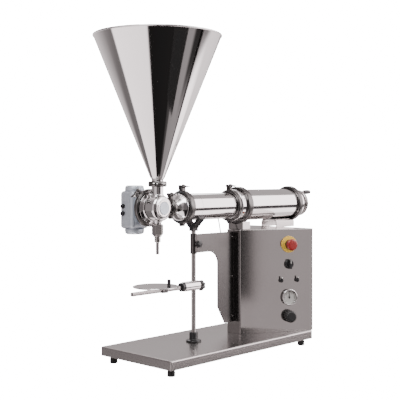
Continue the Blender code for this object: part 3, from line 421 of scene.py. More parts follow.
def turned(name, outline, place=(0, 0, 0), direction=UP, sides=None, edge=None, lobes=None):
    """A turned piece: a circle drawn out ring by ring through (radius, height) points.

    An outline that starts on the axis is closed with flat ends, and any other is closed into a ring.
    lobes is (count, depth) for a knob whose outside waves in and out.
    """
    solid = outline[0][0] == 0
    rings = [point for point in outline if point[0] > 0]
    deselect()
    bpy.ops.mesh.primitive_circle_add(vertices=sides or sizes().small_sides, radius=rings[0][0],
                                      location=(0, 0, 0))
    piece = bpy.context.object
    piece.name = name
    bpy.ops.object.mode_set(mode='EDIT')
    bpy.ops.mesh.select_all(action='SELECT')
    bpy.ops.transform.translate(value=(0, 0, rings[0][1]))
    for (radius, height), (wider, higher) in zip(rings, rings[1:]):
        bpy.ops.mesh.extrude_edges_move(TRANSFORM_OT_translate={"value": (0, 0, higher - height)})
        grow = wider / radius
        bpy.ops.transform.resize(value=(grow, grow, 1), center_override=(0, 0, 0))
    bpy.ops.mesh.select_all(action='DESELECT')
    bpy.ops.mesh.select_mode(type='EDGE')
    bpy.ops.mesh.select_non_manifold()
    if solid:
        bpy.ops.mesh.fill_holes(sides=0)
    else:
        bpy.ops.mesh.bridge_edge_loops()
    bpy.ops.mesh.select_mode(type='VERT')
    bpy.ops.mesh.select_all(action='SELECT')
    bpy.ops.mesh.remove_doubles(threshold=0.000005)
    bpy.ops.mesh.normals_make_consistent(inside=False)
    bpy.ops.object.mode_set(mode='OBJECT')
    if lobes:
        count, depth = lobes
        for vertex in piece.data.vertices:
            wave = 1 - depth * (0.5 - 0.5 * cos(count * atan2(vertex.co.y, vertex.co.x)))
            vertex.co.x *= wave
            vertex.co.y *= wave
    soften(piece, sizes().edge if edge is None else edge)
    piece.location = place
    piece.rotation_euler = aim(direction)
    set_down(piece)
    return piece


def block(name, lowest, highest, edge=None, segments=2):
    """A box between two corners, with rounded edges."""
    deselect()
    size = [b - a for a, b in zip(lowest, highest)]
    centre = [(a + b) / 2 for a, b in zip(lowest, highest)]
    bpy.ops.mesh.primitive_cube_add(size=1, location=centre, scale=size)
    piece = bpy.context.object
    piece.name = name
    set_down(piece)
    return soften(piece, sizes().edge if edge is None else edge, segments)


def plate(name, outline, thickness, edge=None):
    """A flat piece in its own XY plane, from an outline, drawn up by its thickness."""
    deselect()
    bpy.ops.mesh.primitive_circle_add(vertices=len(outline), radius=1, fill_type='NGON',
                                      location=(0, 0, 0))
    piece = bpy.context.object
    piece.name = name
    for vertex, (x, y) in zip(piece.data.vertices, outline):
        vertex.co = (x, y, 0)
    bpy.ops.object.mode_set(mode='EDIT')
    bpy.ops.mesh.select_all(action='SELECT')
    bpy.ops.mesh.extrude_region_move(TRANSFORM_OT_translate={"value": (0, 0, thickness)})
    bpy.ops.mesh.select_all(action='SELECT')
    bpy.ops.mesh.normals_make_consistent(inside=False)
    bpy.ops.object.mode_set(mode='OBJECT')
    return soften(piece, sizes().edge if edge is None else edge)


def arc(centre, radius, start, end, steps):
    """Points on a circle from one angle to another."""
    angles = [start + (end - start) * i / steps for i in range(steps + 1)]
    return [(centre[0] + radius * cos(a), centre[1] + radius * sin(a)) for a in angles]


def carry(piece, place, direction=UP, spin=0.0):
    """Turn a piece about its own Z axis, then aim that axis and move the piece to a place."""
    turn = Vector(direction).to_track_quat('Z', 'Y').to_matrix() @ Matrix.Rotation(spin, 3, 'Z')
    piece.location = place
    piece.rotation_euler = turn.to_euler()
    set_down(piece)
    return piece


def joined(name, pieces):
    """Several shapes as one piece."""
    deselect()
    for piece in pieces:
        piece.select_set(True)
    bpy.context.view_layer.objects.active = pieces[0]
    bpy.ops.object.join()
    pieces[0].name = name
    set_down(pieces[0])
    return pieces[0]


def give(piece, body, slot, finish=None, replaced=()):
    """Give a finished piece its body and its material, from its finish or else its slot, and hide the CAD nodes it
    stands for.
    """
    piece.data.materials.clear()
    piece.data.materials.append(FINISHES[finish or slot])
    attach(piece, body)
    if replaced:
        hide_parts(*replaced)
    return piece


def socket_screw(name, place, direction, radius=0.0028, height=0.0028):
    """A cap screw's head with its round socket."""
    head = turned(name, [(0, 0), (radius, 0), (radius, height), (radius * 0.55, height),
                         (radius * 0.5, height * 0.4), (0, height * 0.4)], place, direction, 20, 0.0002)
    return head


# ------------------------------------------------------------------ stage
class FILLER_OT_stage(bpy.types.Operator):
    """Set the camera, the studio lights, the pale floor and the dark flag that the steel reflects"""
    bl_idname = "filler.stage"
    bl_label = "Stage"

    def execute(self, context):
        self.camera(context)
        self.world(context)
        self.floor()
        self.lights()
        self.dark_flag()
        return {'FINISHED'}

    def camera(self, context):
        deselect()
        bpy.ops.object.camera_add(location=CAMERA_PLACE, rotation=(pi / 2, 0, CAMERA_TURN))
        camera = bpy.context.object
        camera.data.lens = CAMERA_LENS
        camera.data.sensor_width = SENSOR
        camera.data.shift_y = CAMERA_SHIFT
        context.scene.camera = camera

    def world(self, context):
        """Light and dark walls, which only reflections see. The camera sees plain white."""
        world = bpy.data.worlds.new("studio")
        context.scene.world = world
        nodes = Nodes(world, "Background")
        way = nodes.add("ShaderNodeTexCoord", {}, {}, "Generated")

        def towards(direction):
            return nodes.add("ShaderNodeVectorMath", {"operation": 'DOT_PRODUCT'},
                             {0: way, 1: direction}, "Value")

        front = towards(TOWARDS_CAMERA)
        side = towards(CAMERA_RIGHT)
        turn = side.maths('ARCTAN2', side, front) * (1 / tau) + 0.5
        height = towards(UP) * 0.5 + 0.5
        roll = side.maths('ARCTAN2', towards(UP), towards(TOWARDS_OPERATOR)) * (1 / tau) + 0.5
        rear = nodes.ramp(towards(ALONG_X) * 0.5 + 0.5, REAR)
        lower = nodes.ramp(turn, LOWER_WALLS) * (1 - rear * (1 - nodes.ramp(roll, FRONT_LINE)))
        upper = nodes.ramp(turn, UPPER_WALLS) * (1 - rear) + nodes.ramp(roll, OVERHEAD) * rear
        walls = nodes.between(nodes.ramp(height, HORIZON), lower, upper)
        walls = nodes.between(nodes.ramp(height, CEILING), walls, (1.0, 1.0, 1.0))
        tinted = nodes.add("ShaderNodeVectorMath", {"operation": 'MULTIPLY'}, {0: walls, 1: WARMTH})
        seen = nodes.add("ShaderNodeLightPath", {}, {}, "Is Camera Ray")
        nodes.set("Color", nodes.between(seen, tinted, (BACKDROP, BACKDROP, BACKDROP)))
        nodes.set("Strength", 1.0)

    def floor(self):
        deselect()
        bpy.ops.mesh.primitive_plane_add(size=14, location=(0, 0, 0))
        floor = bpy.context.object
        floor.name = "floor"
        nodes = material_nodes("pale_floor")
        nodes.set("Base Color", nodes.between(nodes.noise(2.0), (0.92, 0.92, 0.92), (0.90, 0.90, 0.90)))
        nodes.set("Roughness", 0.8)
        nodes.set("Emission Color", (1, 1, 1, 1))
        nodes.set("Emission Strength", FLOOR_GLOW)
        floor.data.materials.append(nodes.owner)
        floor.visible_glossy = False
        floor.visible_diffuse = False

    def lights(self):
        for name, place, size, power, target in (
                ("key", (-1.6, -1.0, 2.6), 1.6, 60, (0, 0, 0.5)),
                ("fill", (0.8, -2.6, 1.6), 1.6, 36, (0, 0, 0.5)),
                ("back", (1.4, 1.6, 2.2), 1.4, 24, (0, 0, 0.4))):
            deselect()
            away = Vector(place) - Vector(target)
            bpy.ops.object.light_add(type='AREA', radius=size, location=place, rotation=aim(away))
            light = bpy.context.object
            light.name = "light_" + name
            light.data.size = size
            light.data.energy = power

    def dark_flag(self):
        """A dark flag in front of the machine, seen only in reflections."""
        nodes = material_nodes("dark_flag")
        nodes.set("Base Color", (0.01, 0.01, 0.01, 1))
        nodes.set("Roughness", 0.9)
        deselect()
        bpy.ops.mesh.primitive_plane_add(size=1, location=(-0.33, -1.23, 0.45), rotation=(pi / 2, 0, 0))
        flag = bpy.context.object
        flag.name = "dark_flag"
        flag.scale = (0.58, 0.9, 1)
        flag.data.materials.append(nodes.owner)
        flag.visible_camera = False
        flag.visible_shadow = False
        flag.visible_diffuse = False


# ------------------------------------------------------------------ hopper, valve and nozzle
class FILLER_OT_hopper(bpy.types.Operator):
    """Spin up the polished hopper, with its rolled rim, its neck and its clamp flange"""
    bl_idname = "filler.hopper"
    bl_label = "Hopper"

    def execute(self, context):
        s = sizes()
        foot = low("hopper").z
        top = high("hopper").z
        rim = VALVE_X - low("hopper").x - s.rim_bead
        neck_top = foot + 0.0187
        neck = PORT_RADIUS + 0.004
        lip = PORT_RADIUS + FLANGE_LIP
        bead = arc((rim, top - s.rim_bead), s.rim_bead, -pi / 2, pi / 2, 10)
        outline = [(PORT_BORE, foot), (lip, foot), (lip, foot + FLANGE),
                   (PORT_RADIUS, foot + FLANGE + 0.001), (PORT_RADIUS, neck_top - 0.006),
                   (PORT_RADIUS + 0.0008, neck_top - 0.003), (neck, neck_top), *bead,
                   (rim - s.hopper_wall, top - 0.0005), (neck - s.hopper_wall, neck_top + 0.001),
                   (PORT_BORE, neck_top - 0.004)]
        cone = turned("hopper_cone", outline, (VALVE_X, 0, 0), UP, 192, 0.0)
        give(cone, "machine", "polished_steel", "polished_hopper", ["hopper"])
        return {'FINISHED'}


class FILLER_OT_valve(bpy.types.Operator):
    """Turn the three-way valve body, its ports, its front cap and its outlet"""
    bl_idname = "filler.valve"
    bl_label = "Valve"

    def execute(self, context):
        centre = Vector((VALVE_X, 0, AXIS_Z))
        front = -0.030
        back = high("valve_body").y
        neck = VALVE_NECK
        lip = neck + FLANGE_LIP
        reach = VALVE_RADIUS
        seat = 0.0276            # radius of the front face, where its rounded shoulder starts
        shoulder = reach - seat
        depth = 0.0125
        steps = 8
        dome = [(seat + shoulder * sin(i * pi / 2 / steps),
                 front + 0.001 + depth * (1 - cos(i * pi / 2 / steps))) for i in range(1, steps + 1)]
        barrel = turned("valve_barrel", [
            (0, front + 0.002), (0.0272, front + 0.002), (seat, front + 0.001), *dome,
            (reach, -back + 0.062), (neck, -back + 0.068), (neck, back - FLANGE - 0.001),
            (lip, back - FLANGE), (lip, back), (0, back)], centre, ALONG_Y, 96, 0.0005)
        top = low("hopper").z - AXIS_Z - 0.0006
        side = low("reducer").x - VALVE_X - 0.0006
        lip = PORT_RADIUS + FLANGE_LIP
        root = PORT_RADIUS + 0.005
        shapes = [barrel]
        for reach_out, direction in ((top, UP), (side, ALONG_X)):
            shapes.append(turned("valve_port", [(0, 0.01), (root, 0.034), (root, 0.0365),
                                                (PORT_RADIUS + 0.001, 0.0425), (PORT_RADIUS, 0.045),
                                                (PORT_RADIUS, reach_out - FLANGE),
                                                (lip, reach_out - FLANGE + 0.001), (lip, reach_out),
                                                (0, reach_out)], centre, direction, 72, 0.0004))
        drop = AXIS_Z - high("nozzle_union").z
        shapes.append(turned("valve_outlet", [(0, 0.02), (0.016, 0.036), (0.016, 0.043),
                                              (0.0125, drop - 0.004), (0.0125, drop - 0.0005),
                                              (0, drop - 0.0005)], centre, -UP, 48, 0.0006))
        give(joined("valve_housing", shapes), "machine", "polished_steel", "polished_steel",
             ["valve_body"])
        face = Vector((VALVE_X, front, AXIS_Z))
        ring = turned("valve_cap_ring", [(0.0212, -0.003), (0.0265, -0.003), (0.0265, 0.0012),
                                         (0.0258, 0.002), (0.0218, 0.002)], face, TOWARDS_OPERATOR, 72,
                      0.0004)
        give(ring, "machine", "polished_steel")
        cap = turned("valve_cap", [(0, -0.003), (0.0207, -0.003), (0.0207, 0.0030), (0.0197, 0.004),
                                   (0.004, 0.0037), (0, 0.0037)],
                     face, TOWARDS_OPERATOR, 72, 0.0003)
        give(cap, "machine", "blue_aluminium")
        return {'FINISHED'}


class FILLER_OT_nozzle(bpy.types.Operator):
    """Make the hexagonal union nut and the filling nozzle"""
    bl_idname = "filler.nozzle"
    bl_label = "Nozzle"

    def execute(self, context):
        bottom, top = low("nozzle_union").z, high("nozzle_union").z
        across = 0.0195
        nut = turned("nozzle_nut", [(0, bottom + 0.002), (across - 0.0035, bottom),
                                    (across, bottom + 0.0035), (across, top - 0.0035),
                                    (across - 0.0035, top), (0.0128, top)], (VALVE_X, 0, 0), UP, 6,
                     0.0008)
        collar = turned("nozzle_nut_collar", [(0, bottom - 0.0045), (0.013, bottom - 0.0045),
                                              (0.014, bottom - 0.003), (0.014, bottom + 0.001),
                                              (0, bottom + 0.001)], (VALVE_X, 0, 0), UP, 48, 0.0004)
        # The polished nut takes the darker steel, which paints its shade.
        give(joined("nozzle_nut", [nut, collar]), "machine", "polished_steel", "bright_steel_and_shaded_polish",
             ["nozzle_union"])
        tip = low("nozzle_tube").z
        neck = bottom - 0.024
        tube = turned("filling_nozzle", [(0.0042, tip), (0.0052, tip), (0.0057, tip + 0.0012),
                                         (0.0057, neck), (0.0066, neck + 0.001),
                                         (0.0096, neck + 0.0016), (0.0102, neck + 0.0026),
                                         (0.0102, bottom + 0.004), (0.0042, bottom + 0.004)],
                      (VALVE_X, 0, 0), UP, 48, 0.0002)
        # The polished nozzle takes the darker steel, which paints its shade.
        give(tube, "machine", "polished_steel", "bright_steel_and_shaded_polish", ["nozzle_tube"])
        return {'FINISHED'}


class FILLER_OT_actuator(bpy.types.Operator):
    """Build the rotary actuator: its housing, end caps, air fittings and screws"""
    bl_idname = "filler.actuator"
    bl_label = "Actuator"

    def execute(self, context):
        lowest = Vector((middle("actuator_top_cap").x - 0.038, 0.078,
                         high("actuator_bottom_cap").z + CLEARANCE))
        highest = Vector((lowest.x + 0.076, high("actuator_body").y,
                          low("actuator_top_cap").z - CLEARANCE))
        housing = block("actuator_housing", lowest, highest, 0.012, 5)
        shapes = [housing]
        back = high("valve_body").y + CLEARANCE
        lip = VALVE_NECK + FLANGE_LIP
        shapes.append(turned("actuator_neck", [(0, back), (lip, back), (lip, back + FLANGE),
                                               (0.024, back + 0.004), (0.024, lowest.y - 0.006),
                                               (0.029, lowest.y + 0.001), (0, lowest.y + 0.001)],
                             (VALVE_X, 0, AXIS_Z), ALONG_Y, 64, 0.0004))
        for share in (-0.3, 0.3):
            z = (lowest.z + highest.z) / 2 + share * (highest.z - lowest.z)
            shapes.append(block("actuator_rib", (lowest.x - 0.0016, lowest.y + 0.014, z - 0.011),
                                (lowest.x + 0.004, highest.y - 0.014, z + 0.011), 0.0014))
            shapes.append(block("actuator_rib", (lowest.x + 0.012, lowest.y - 0.0016, z - 0.011),
                                (highest.x - 0.012, lowest.y + 0.004, z + 0.011), 0.0014))
        give(joined("actuator_housing", shapes), "machine", "blue_aluminium", None, ["actuator_body"])
        ports = []
        port_y = lowest.y + 0.066 * 0.7
        port_z = (lowest.z + highest.z) / 2
        for sign in (-1, 1):
            place = (lowest.x, port_y, port_z + sign * 0.012)
            ports.append(turned("fitting_nut", [(0, -0.002), (0.0085, -0.002), (0.0085, 0.004),
                                                (0, 0.004)], place, -ALONG_X, 6, 0.0005))
            ports.append(turned("fitting_body", [(0, 0.003), (0.006, 0.003), (0.006, 0.0085),
                                                 (0.005, 0.0098), (0.0028, 0.0098), (0.0026, 0.006),
                                                 (0, 0.006)], place, -ALONG_X, 32, 0.0003))
        give(joined("actuator_air_fittings", ports), "machine", "black_plastic")
        for cap, sign in (("actuator_top_cap", 1), ("actuator_bottom_cap", -1)):
            inner = low(cap).z if sign > 0 else high(cap).z
            radius = (high(cap).x - low(cap).x) / 2
            height = high(cap).z - low(cap).z
            centre = Vector((middle(cap).x, middle(cap).y, inner))
            lid = turned(cap + "_lid", [(0, 0), (radius, 0), (radius, height * 0.45),
                                        (radius - 0.0012, height * 0.5),
                                        (radius - 0.0012, height * 0.58),
                                        (radius - 0.0004, height * 0.62),
                                        (radius - 0.003, height * 0.86), (radius - 0.008, height),
                                        (0, height)], centre, UP * sign, 96, 0.0004)
            give(lid, "machine", "blue_aluminium", None, [cap])
            heads = []
            for i in range(4):
                angle = pi / 4 + i * pi / 2
                offset = Vector((cos(angle), sin(angle), 0)) * radius * 0.62
                heads.append(socket_screw("cap_screw", centre + offset + UP * sign * (height - 0.0028),
                                          UP * sign))
            give(joined(cap + "_screws", heads), "machine", "cast_steel", "bright_steel_and_shaded_polish")
        return {'FINISHED'}


# ------------------------------------------------------------------ dosing line
class FILLER_OT_dosing_line(bpy.types.Operator):
    """Turn the reducer, the dosing tube, the heads and the air cylinder"""
    bl_idname = "filler.dosing_line"
    bl_label = "Dosing line"

    def along(self, name, outline, replaced, finish="polished_round"):
        piece = turned(name, outline, (0, 0, AXIS_Z), ALONG_X, sizes().sides, 0.0005)
        return give(piece, "machine", "polished_steel", finish, replaced)

    def execute(self, context):
        small = PORT_RADIUS + FLANGE_LIP
        large = TUBE_RADIUS + FLANGE_LIP
        wide = CYLINDER_RADIUS + FLANGE_LIP
        bore = TUBE_RADIUS - WALL
        start, end = low("reducer").x, high("reducer").x
        steps = 12
        bell = []
        for i in range(steps + 1):
            t = i / steps
            swell = t * t * (3 - 2 * t)
            bell.append((PORT_RADIUS + (TUBE_RADIUS - PORT_RADIUS) * swell,
                         start + 0.010 + (end - start - 0.024) * t))
        self.along("reducer_cone", [(PORT_BORE, start), (small, start), (small, start + FLANGE),
                                    (PORT_RADIUS, start + 0.004), *bell, (TUBE_RADIUS, end - 0.004),
                                    (large, end - FLANGE), (large, end), (bore, end),
                                    (bore, end - 0.014), (PORT_BORE, start + 0.010)], ["reducer"])
        for name, node, radius in (("dosing_cylinder", "dosing_tube", TUBE_RADIUS),
                                   ("power_cylinder", "air_cylinder", CYLINDER_RADIUS)):
            start, end = low(node).x, high(node).x
            lip = radius + FLANGE_LIP
            inside = radius - WALL
            self.along(name, [(inside, start), (lip, start), (lip, start + FLANGE),
                              (radius, start + 0.0042), (radius, end - 0.0042), (lip, end - FLANGE),
                              (lip, end), (inside, end)], [node])
        start, end = low("front_head").x, high("front_head").x
        outer = CYLINDER_RADIUS + 0.001
        shoulder = arc((outer - 0.004, start + 0.014), 0.004, -pi / 2, 0, 4)
        self.along("front_head_casting", [(0.0095, start), (large, start), (large, start + FLANGE),
                                          (TUBE_RADIUS, start + 0.004), (TUBE_RADIUS, start + 0.010),
                                          *shoulder, (outer, end - 0.004), (wide, end - FLANGE),
                                          (wide, end), (0.0095, end)], ["front_head"], "polished_steel")
        start, end = low("rear_head").x, high("rear_head").x
        length = end - start
        dome = arc((outer - 0.010, start + length * 0.60), 0.010, 0, pi / 2, 6)
        self.along("rear_head_casting", [(SCREW_RADIUS + RUNNING_GAP, start), (wide, start),
                                         (wide, start + FLANGE), (outer, start + 0.004), *dome,
                                         (0.024, start + length * 0.85),
                                         (0.0205, start + length * 0.87), (0.020, end - 0.001),
                                         (SCREW_RADIUS + RUNNING_GAP, end)], ["rear_head"],
                   "polished_steel")
        heads = []
        count = 10
        for i in range(count):
            angle = i * tau / count + 0.2
            radial = Vector((0, cos(angle), sin(angle)))
            place = Vector((low("front_head").x + 0.022, 0, AXIS_Z)) + radial * (outer - 0.0004)
            heads.append(socket_screw("head_screw", place, radial, 0.0024, 0.0010))
        give(joined("front_head_screws", heads), "machine", "cast_steel")
        rings = []
        for offset in (0.055, 0.215):        # from the tube's valve end
            rings.append(turned("weld_line", [(TUBE_RADIUS - 0.0005, -0.0008),
                                              (TUBE_RADIUS + 0.0002, -0.0005),
                                              (TUBE_RADIUS + 0.0002, 0.0005),
                                              (TUBE_RADIUS - 0.0005, 0.0008)],
                                (low("dosing_tube").x + offset, 0, AXIS_Z), ALONG_X, 96, 0))
        give(joined("tube_polish_lines", rings), "machine", "polished_steel", "bright_steel_and_shaded_polish")
        return {'FINISHED'}


# ------------------------------------------------------------------ clamps
class FILLER_OT_clamps(bpy.types.Operator):
    """Make the sanitary clamps, with their hinges and swing bolts, and the wing nuts"""
    bl_idname = "filler.clamps"
    bl_label = "Clamps"

    def ring(self, name, centre, direction, pipe, half):
        """The two grooved halves of a clamp, seen as one ring with rounded shoulders."""
        groove = pipe + FLANGE_LIP + CLEARANCE
        outside = groove + CLAMP_WALL
        crown = outside - 0.0022
        return turned(name, [(pipe + 0.0015, -half), (crown, -half), (outside, -half * 0.55),
                             (outside, half * 0.55), (crown, half), (pipe + 0.0015, half),
                             (groove, 0.004), (groove, -0.004)], centre, direction, 96, 0.0007)

    def ears(self, name, half, outside, gap=0.0016):
        """A pair of lugs either side of the clamp's split, built round the origin."""
        parts = []
        for sign in (-1, 1):
            near, far = sorted((sign * gap, sign * 0.0095))
            parts.append(block(name, (outside - 0.004, near, -half * 0.78),
                               (outside + 0.0175, far, half * 0.78), 0.0018, 3))
        return parts

    def execute(self, context):
        for node, pipe, half, axis, nut in (
                ("hopper_clamp", PORT_RADIUS, 0.009, UP, "hopper_wing_nut"),
                ("inlet_clamp", PORT_RADIUS, 0.007, ALONG_X, "inlet_wing_nut"),
                ("tube_clamp", TUBE_RADIUS, 0.011, ALONG_X, "tube_wing_nut"),
                ("middle_clamp", TUBE_RADIUS, 0.007, ALONG_X, "middle_wing_nut")):
            self.bolted(node, pipe, half, axis, nut)
        self.actuator_clamp()
        for node, half in (("cylinder_clamp", 0.012), ("rear_clamp", 0.010)):
            self.plain(node, half)
        return {'FINISHED'}

    def bolted(self, node, pipe, half, axis, nut):
        joint = JOINTS[nut + "_turn"]
        bolt = Vector(joint["pos_m"])
        direction = Vector(joint["axis"])
        if axis is UP:
            centre = Vector((VALVE_X, 0, bolt.z))
        else:
            centre = Vector((bolt.x, 0, AXIS_Z))
        radial = (bolt - centre).normalized()
        outside = pipe + CLAMP_OUT
        ring = self.ring(node + "_ring", centre, axis, pipe, half)
        shapes = [ring]
        turn = Matrix((radial, direction, radial.cross(direction))).transposed()
        for ear in self.ears(node + "_ear", half, outside):
            ear.matrix_world = Matrix.Translation(centre) @ turn.to_4x4()
            set_down(ear)
            shapes.append(ear)
        hinge = -radial
        low_side = centre + hinge * (outside + 0.003)
        shapes.append(turned(node + "_hinge", [(0, -half * 0.8), (0.0048, -half * 0.8),
                                               (0.0048, half * 0.8), (0, half * 0.8)], low_side, axis,
                             24, 0.0006))
        for sign in (-1, 1):
            side = hinge * (outside - 0.0002) + direction * sign * 0.006
            shapes.append(turned(node + "_knuckle", [(0, -half * 0.5), (0.0044, -half * 0.5),
                                                     (0.0044, half * 0.5), (0, half * 0.5)],
                                 centre + side, axis, 20, 0.0006))
        give(joined(node + "_assembly", shapes), "machine", "cast_steel", None, [node])
        pin = turned(node + "_bolt", [(0, -0.013), (0.0052, -0.013), (0.0052, -0.008), (0.003, -0.0075),
                                      (0.003, 0.026), (0.0024, 0.0275), (0, 0.0275)], bolt, direction,
                     24, 0.0003)
        give(pin, "machine", "cast_steel", "bright_steel_and_shaded_polish")
        self.wing_nut(nut, bolt, direction)

    def actuator_clamp(self):
        """The clamp between the valve and the actuator. Its wing nut doesn't turn."""
        node = "actuator_clamp"
        centre = Vector((VALVE_X, high("valve_body").y + 0.0002, AXIS_Z))
        half = 0.007
        ring = self.ring(node + "_ring", centre, ALONG_Y, VALVE_NECK, half)
        outside = VALVE_NECK + CLAMP_OUT
        corner = Vector((-sqrt(0.5), 0, sqrt(0.5)))
        along = Vector((-sqrt(0.5), 0, -sqrt(0.5)))
        place = centre + corner * (outside + 0.010)
        shapes = [ring]
        turn = Matrix((corner, along, corner.cross(along))).transposed()
        split = Vector((VALVE_X, high("valve_body").y, AXIS_Z))
        for ear in self.ears(node + "_ear", half, outside):
            ear.matrix_world = Matrix.Translation(split) @ turn.to_4x4()
            set_down(ear)
            shapes.append(ear)
        give(joined(node + "_assembly", shapes), "machine", "cast_steel", None, [node])
        pin = turned(node + "_bolt", [(0, -0.013), (0.0052, -0.013), (0.0052, -0.008), (0.003, -0.0075),
                                      (0.003, 0.022), (0, 0.022)], place, along, 24, 0.0003)
        give(pin, "machine", "cast_steel", "bright_steel_and_shaded_polish")
        nut = self.wing_shape("actuator_wing_nut_shape", place, along)
        give(nut, "machine", "cast_steel")

    def plain(self, node, half):
        centre = Vector((middle(node).x, 0, AXIS_Z))
        ring = self.ring(node + "_ring", centre, ALONG_X, CYLINDER_RADIUS, half)
        groove = high(node).y
        shapes = [ring]
        joint = Vector((half * 0.7, 0.0035, 0.007))
        for sign in (-1, 1):
            place = Vector((centre.x, sign * (groove - 0.004), AXIS_Z))
            shapes.append(block(node + "_joint", place - joint, place + joint, 0.0012))
        give(joined(node + "_assembly", shapes), "machine", "cast_steel", None, [node])

    def wing_shape(self, name, bolt, direction):
        seat = 0.004
        span = sizes().wing_span / 2
        shapes = [turned(name, [(0.0034, seat), (0.0078, seat), (0.0074, seat + 0.002),
                                (0.0056, seat + 0.009), (0.0050, seat + 0.0105),
                                (0.0034, seat + 0.0105)], bolt, direction, 32, 0.0005)]
        for sign in (-1, 1):
            tip = arc((span * 0.80, seat + 0.0152), 0.0034, -0.9, 2.2, 7)
            outline = [(0.0040, seat + 0.0020), (span * 0.55, seat + 0.0055), *tip,
                       (0.0040, seat + 0.0092)]
            wing = plate(name + "_wing", [(sign * x, z) for x, z in outline], 0.0032, 0.0009)
            wing.rotation_euler = (pi / 2, 0, 0)
            wing.location = (0, 0.0016, 0)
            set_down(wing)
            shapes.append(carry(wing, bolt, direction))
        return joined(name, shapes)

    def wing_nut(self, nut, bolt, direction):
        give(self.wing_shape(nut + "_shape", bolt, direction), nut, "cast_steel", None, [nut])


# ------------------------------------------------------------------ rear adjustment
class FILLER_OT_adjustment(bpy.types.Operator):
    """Turn the stroke screw, the hand wheel and the crank's grip"""
    bl_idname = "filler.adjustment"
    bl_label = "Adjustment"

    def execute(self, context):
        start, end = low("stroke_screw").x, high("stroke_screw").x
        thread = []
        pitch = 0.004
        x = start + 0.003
        while x < end - 0.004:
            thread += [(SCREW_RADIUS - 0.0009, x), (SCREW_RADIUS, x + pitch * 0.35),
                       (SCREW_RADIUS, x + pitch * 0.5), (SCREW_RADIUS - 0.0009, x + pitch * 0.85)]
            x += pitch
        screw = turned("threaded_screw", [(0, start), (SCREW_RADIUS - 0.002, start), *thread,
                                          (SCREW_RADIUS - 0.002, end), (0, end)],
                       (0, 0, AXIS_Z), ALONG_X, 40, 0)
        give(screw, "stroke_screw", "cast_steel", "bright_steel_and_shaded_polish", ["stroke_screw"])
        joint = Vector(JOINTS["stroke_wheel_turn"]["pos_m"])
        radius = 0.050
        hub_bore = SCREW_RADIUS + RUNNING_GAP
        rim = 0.007
        outer_rim = arc((radius - rim, 0), rim, -pi / 2 - 0.6, pi / 2 + 0.6, 14)
        wheel = turned("wheel_disc", [(hub_bore, -0.013), (0.013, -0.013), (0.0155, -0.004),
                                      (0.022, -0.0025), *outer_rim, (0.022, 0.0025), (0.0155, 0.005),
                                      (0.013, 0.011), (hub_bore, 0.011)], joint, ALONG_X, 96, 0.0003)
        grip = Vector(JOINTS["crank_grip_spin"]["pos_m"])
        pin = turned("wheel_pin", [(0, joint.x), (0.003, joint.x), (0.003, grip.x + 0.037),
                                   (0, grip.x + 0.037)], (0, 0, grip.z), ALONG_X, 24, 0.0002)
        boss = turned("wheel_boss", [(0, joint.x), (0.0065, joint.x + 0.003), (0.0065, grip.x - 0.020),
                                     (0.0045, grip.x - 0.018), (0.0045, grip.x - 0.0008),
                                     (0, grip.x - 0.0008)], (0, 0, grip.z), ALONG_X, 32, 0.0004)
        give(joined("crank_wheel", [wheel, pin, boss]), "hand_wheel", "cast_steel", "bright_steel_and_shaded_polish",
             ["hand_wheel"])
        length = high("crank_grip").x - low("crank_grip").x
        widest = (high("crank_grip").y - low("crank_grip").y) / 2
        swell = []
        steps = 12
        for i in range(steps + 1):
            t = i / steps
            swell.append((widest * (0.74 + 0.26 * sin(pi * min(1.0, 0.12 + t * 0.72))),
                          length * (0.02 + 0.88 * t)))
        handle = turned("crank_handle", [(0, 0), (0.0058, 0), *swell, (widest * 0.62, length * 0.97),
                                         (0.003, length), (0, length)], grip, ALONG_X, 48, 0)
        give(handle, "crank_grip", "black_plastic", None, ["crank_grip"])
        return {'FINISHED'}


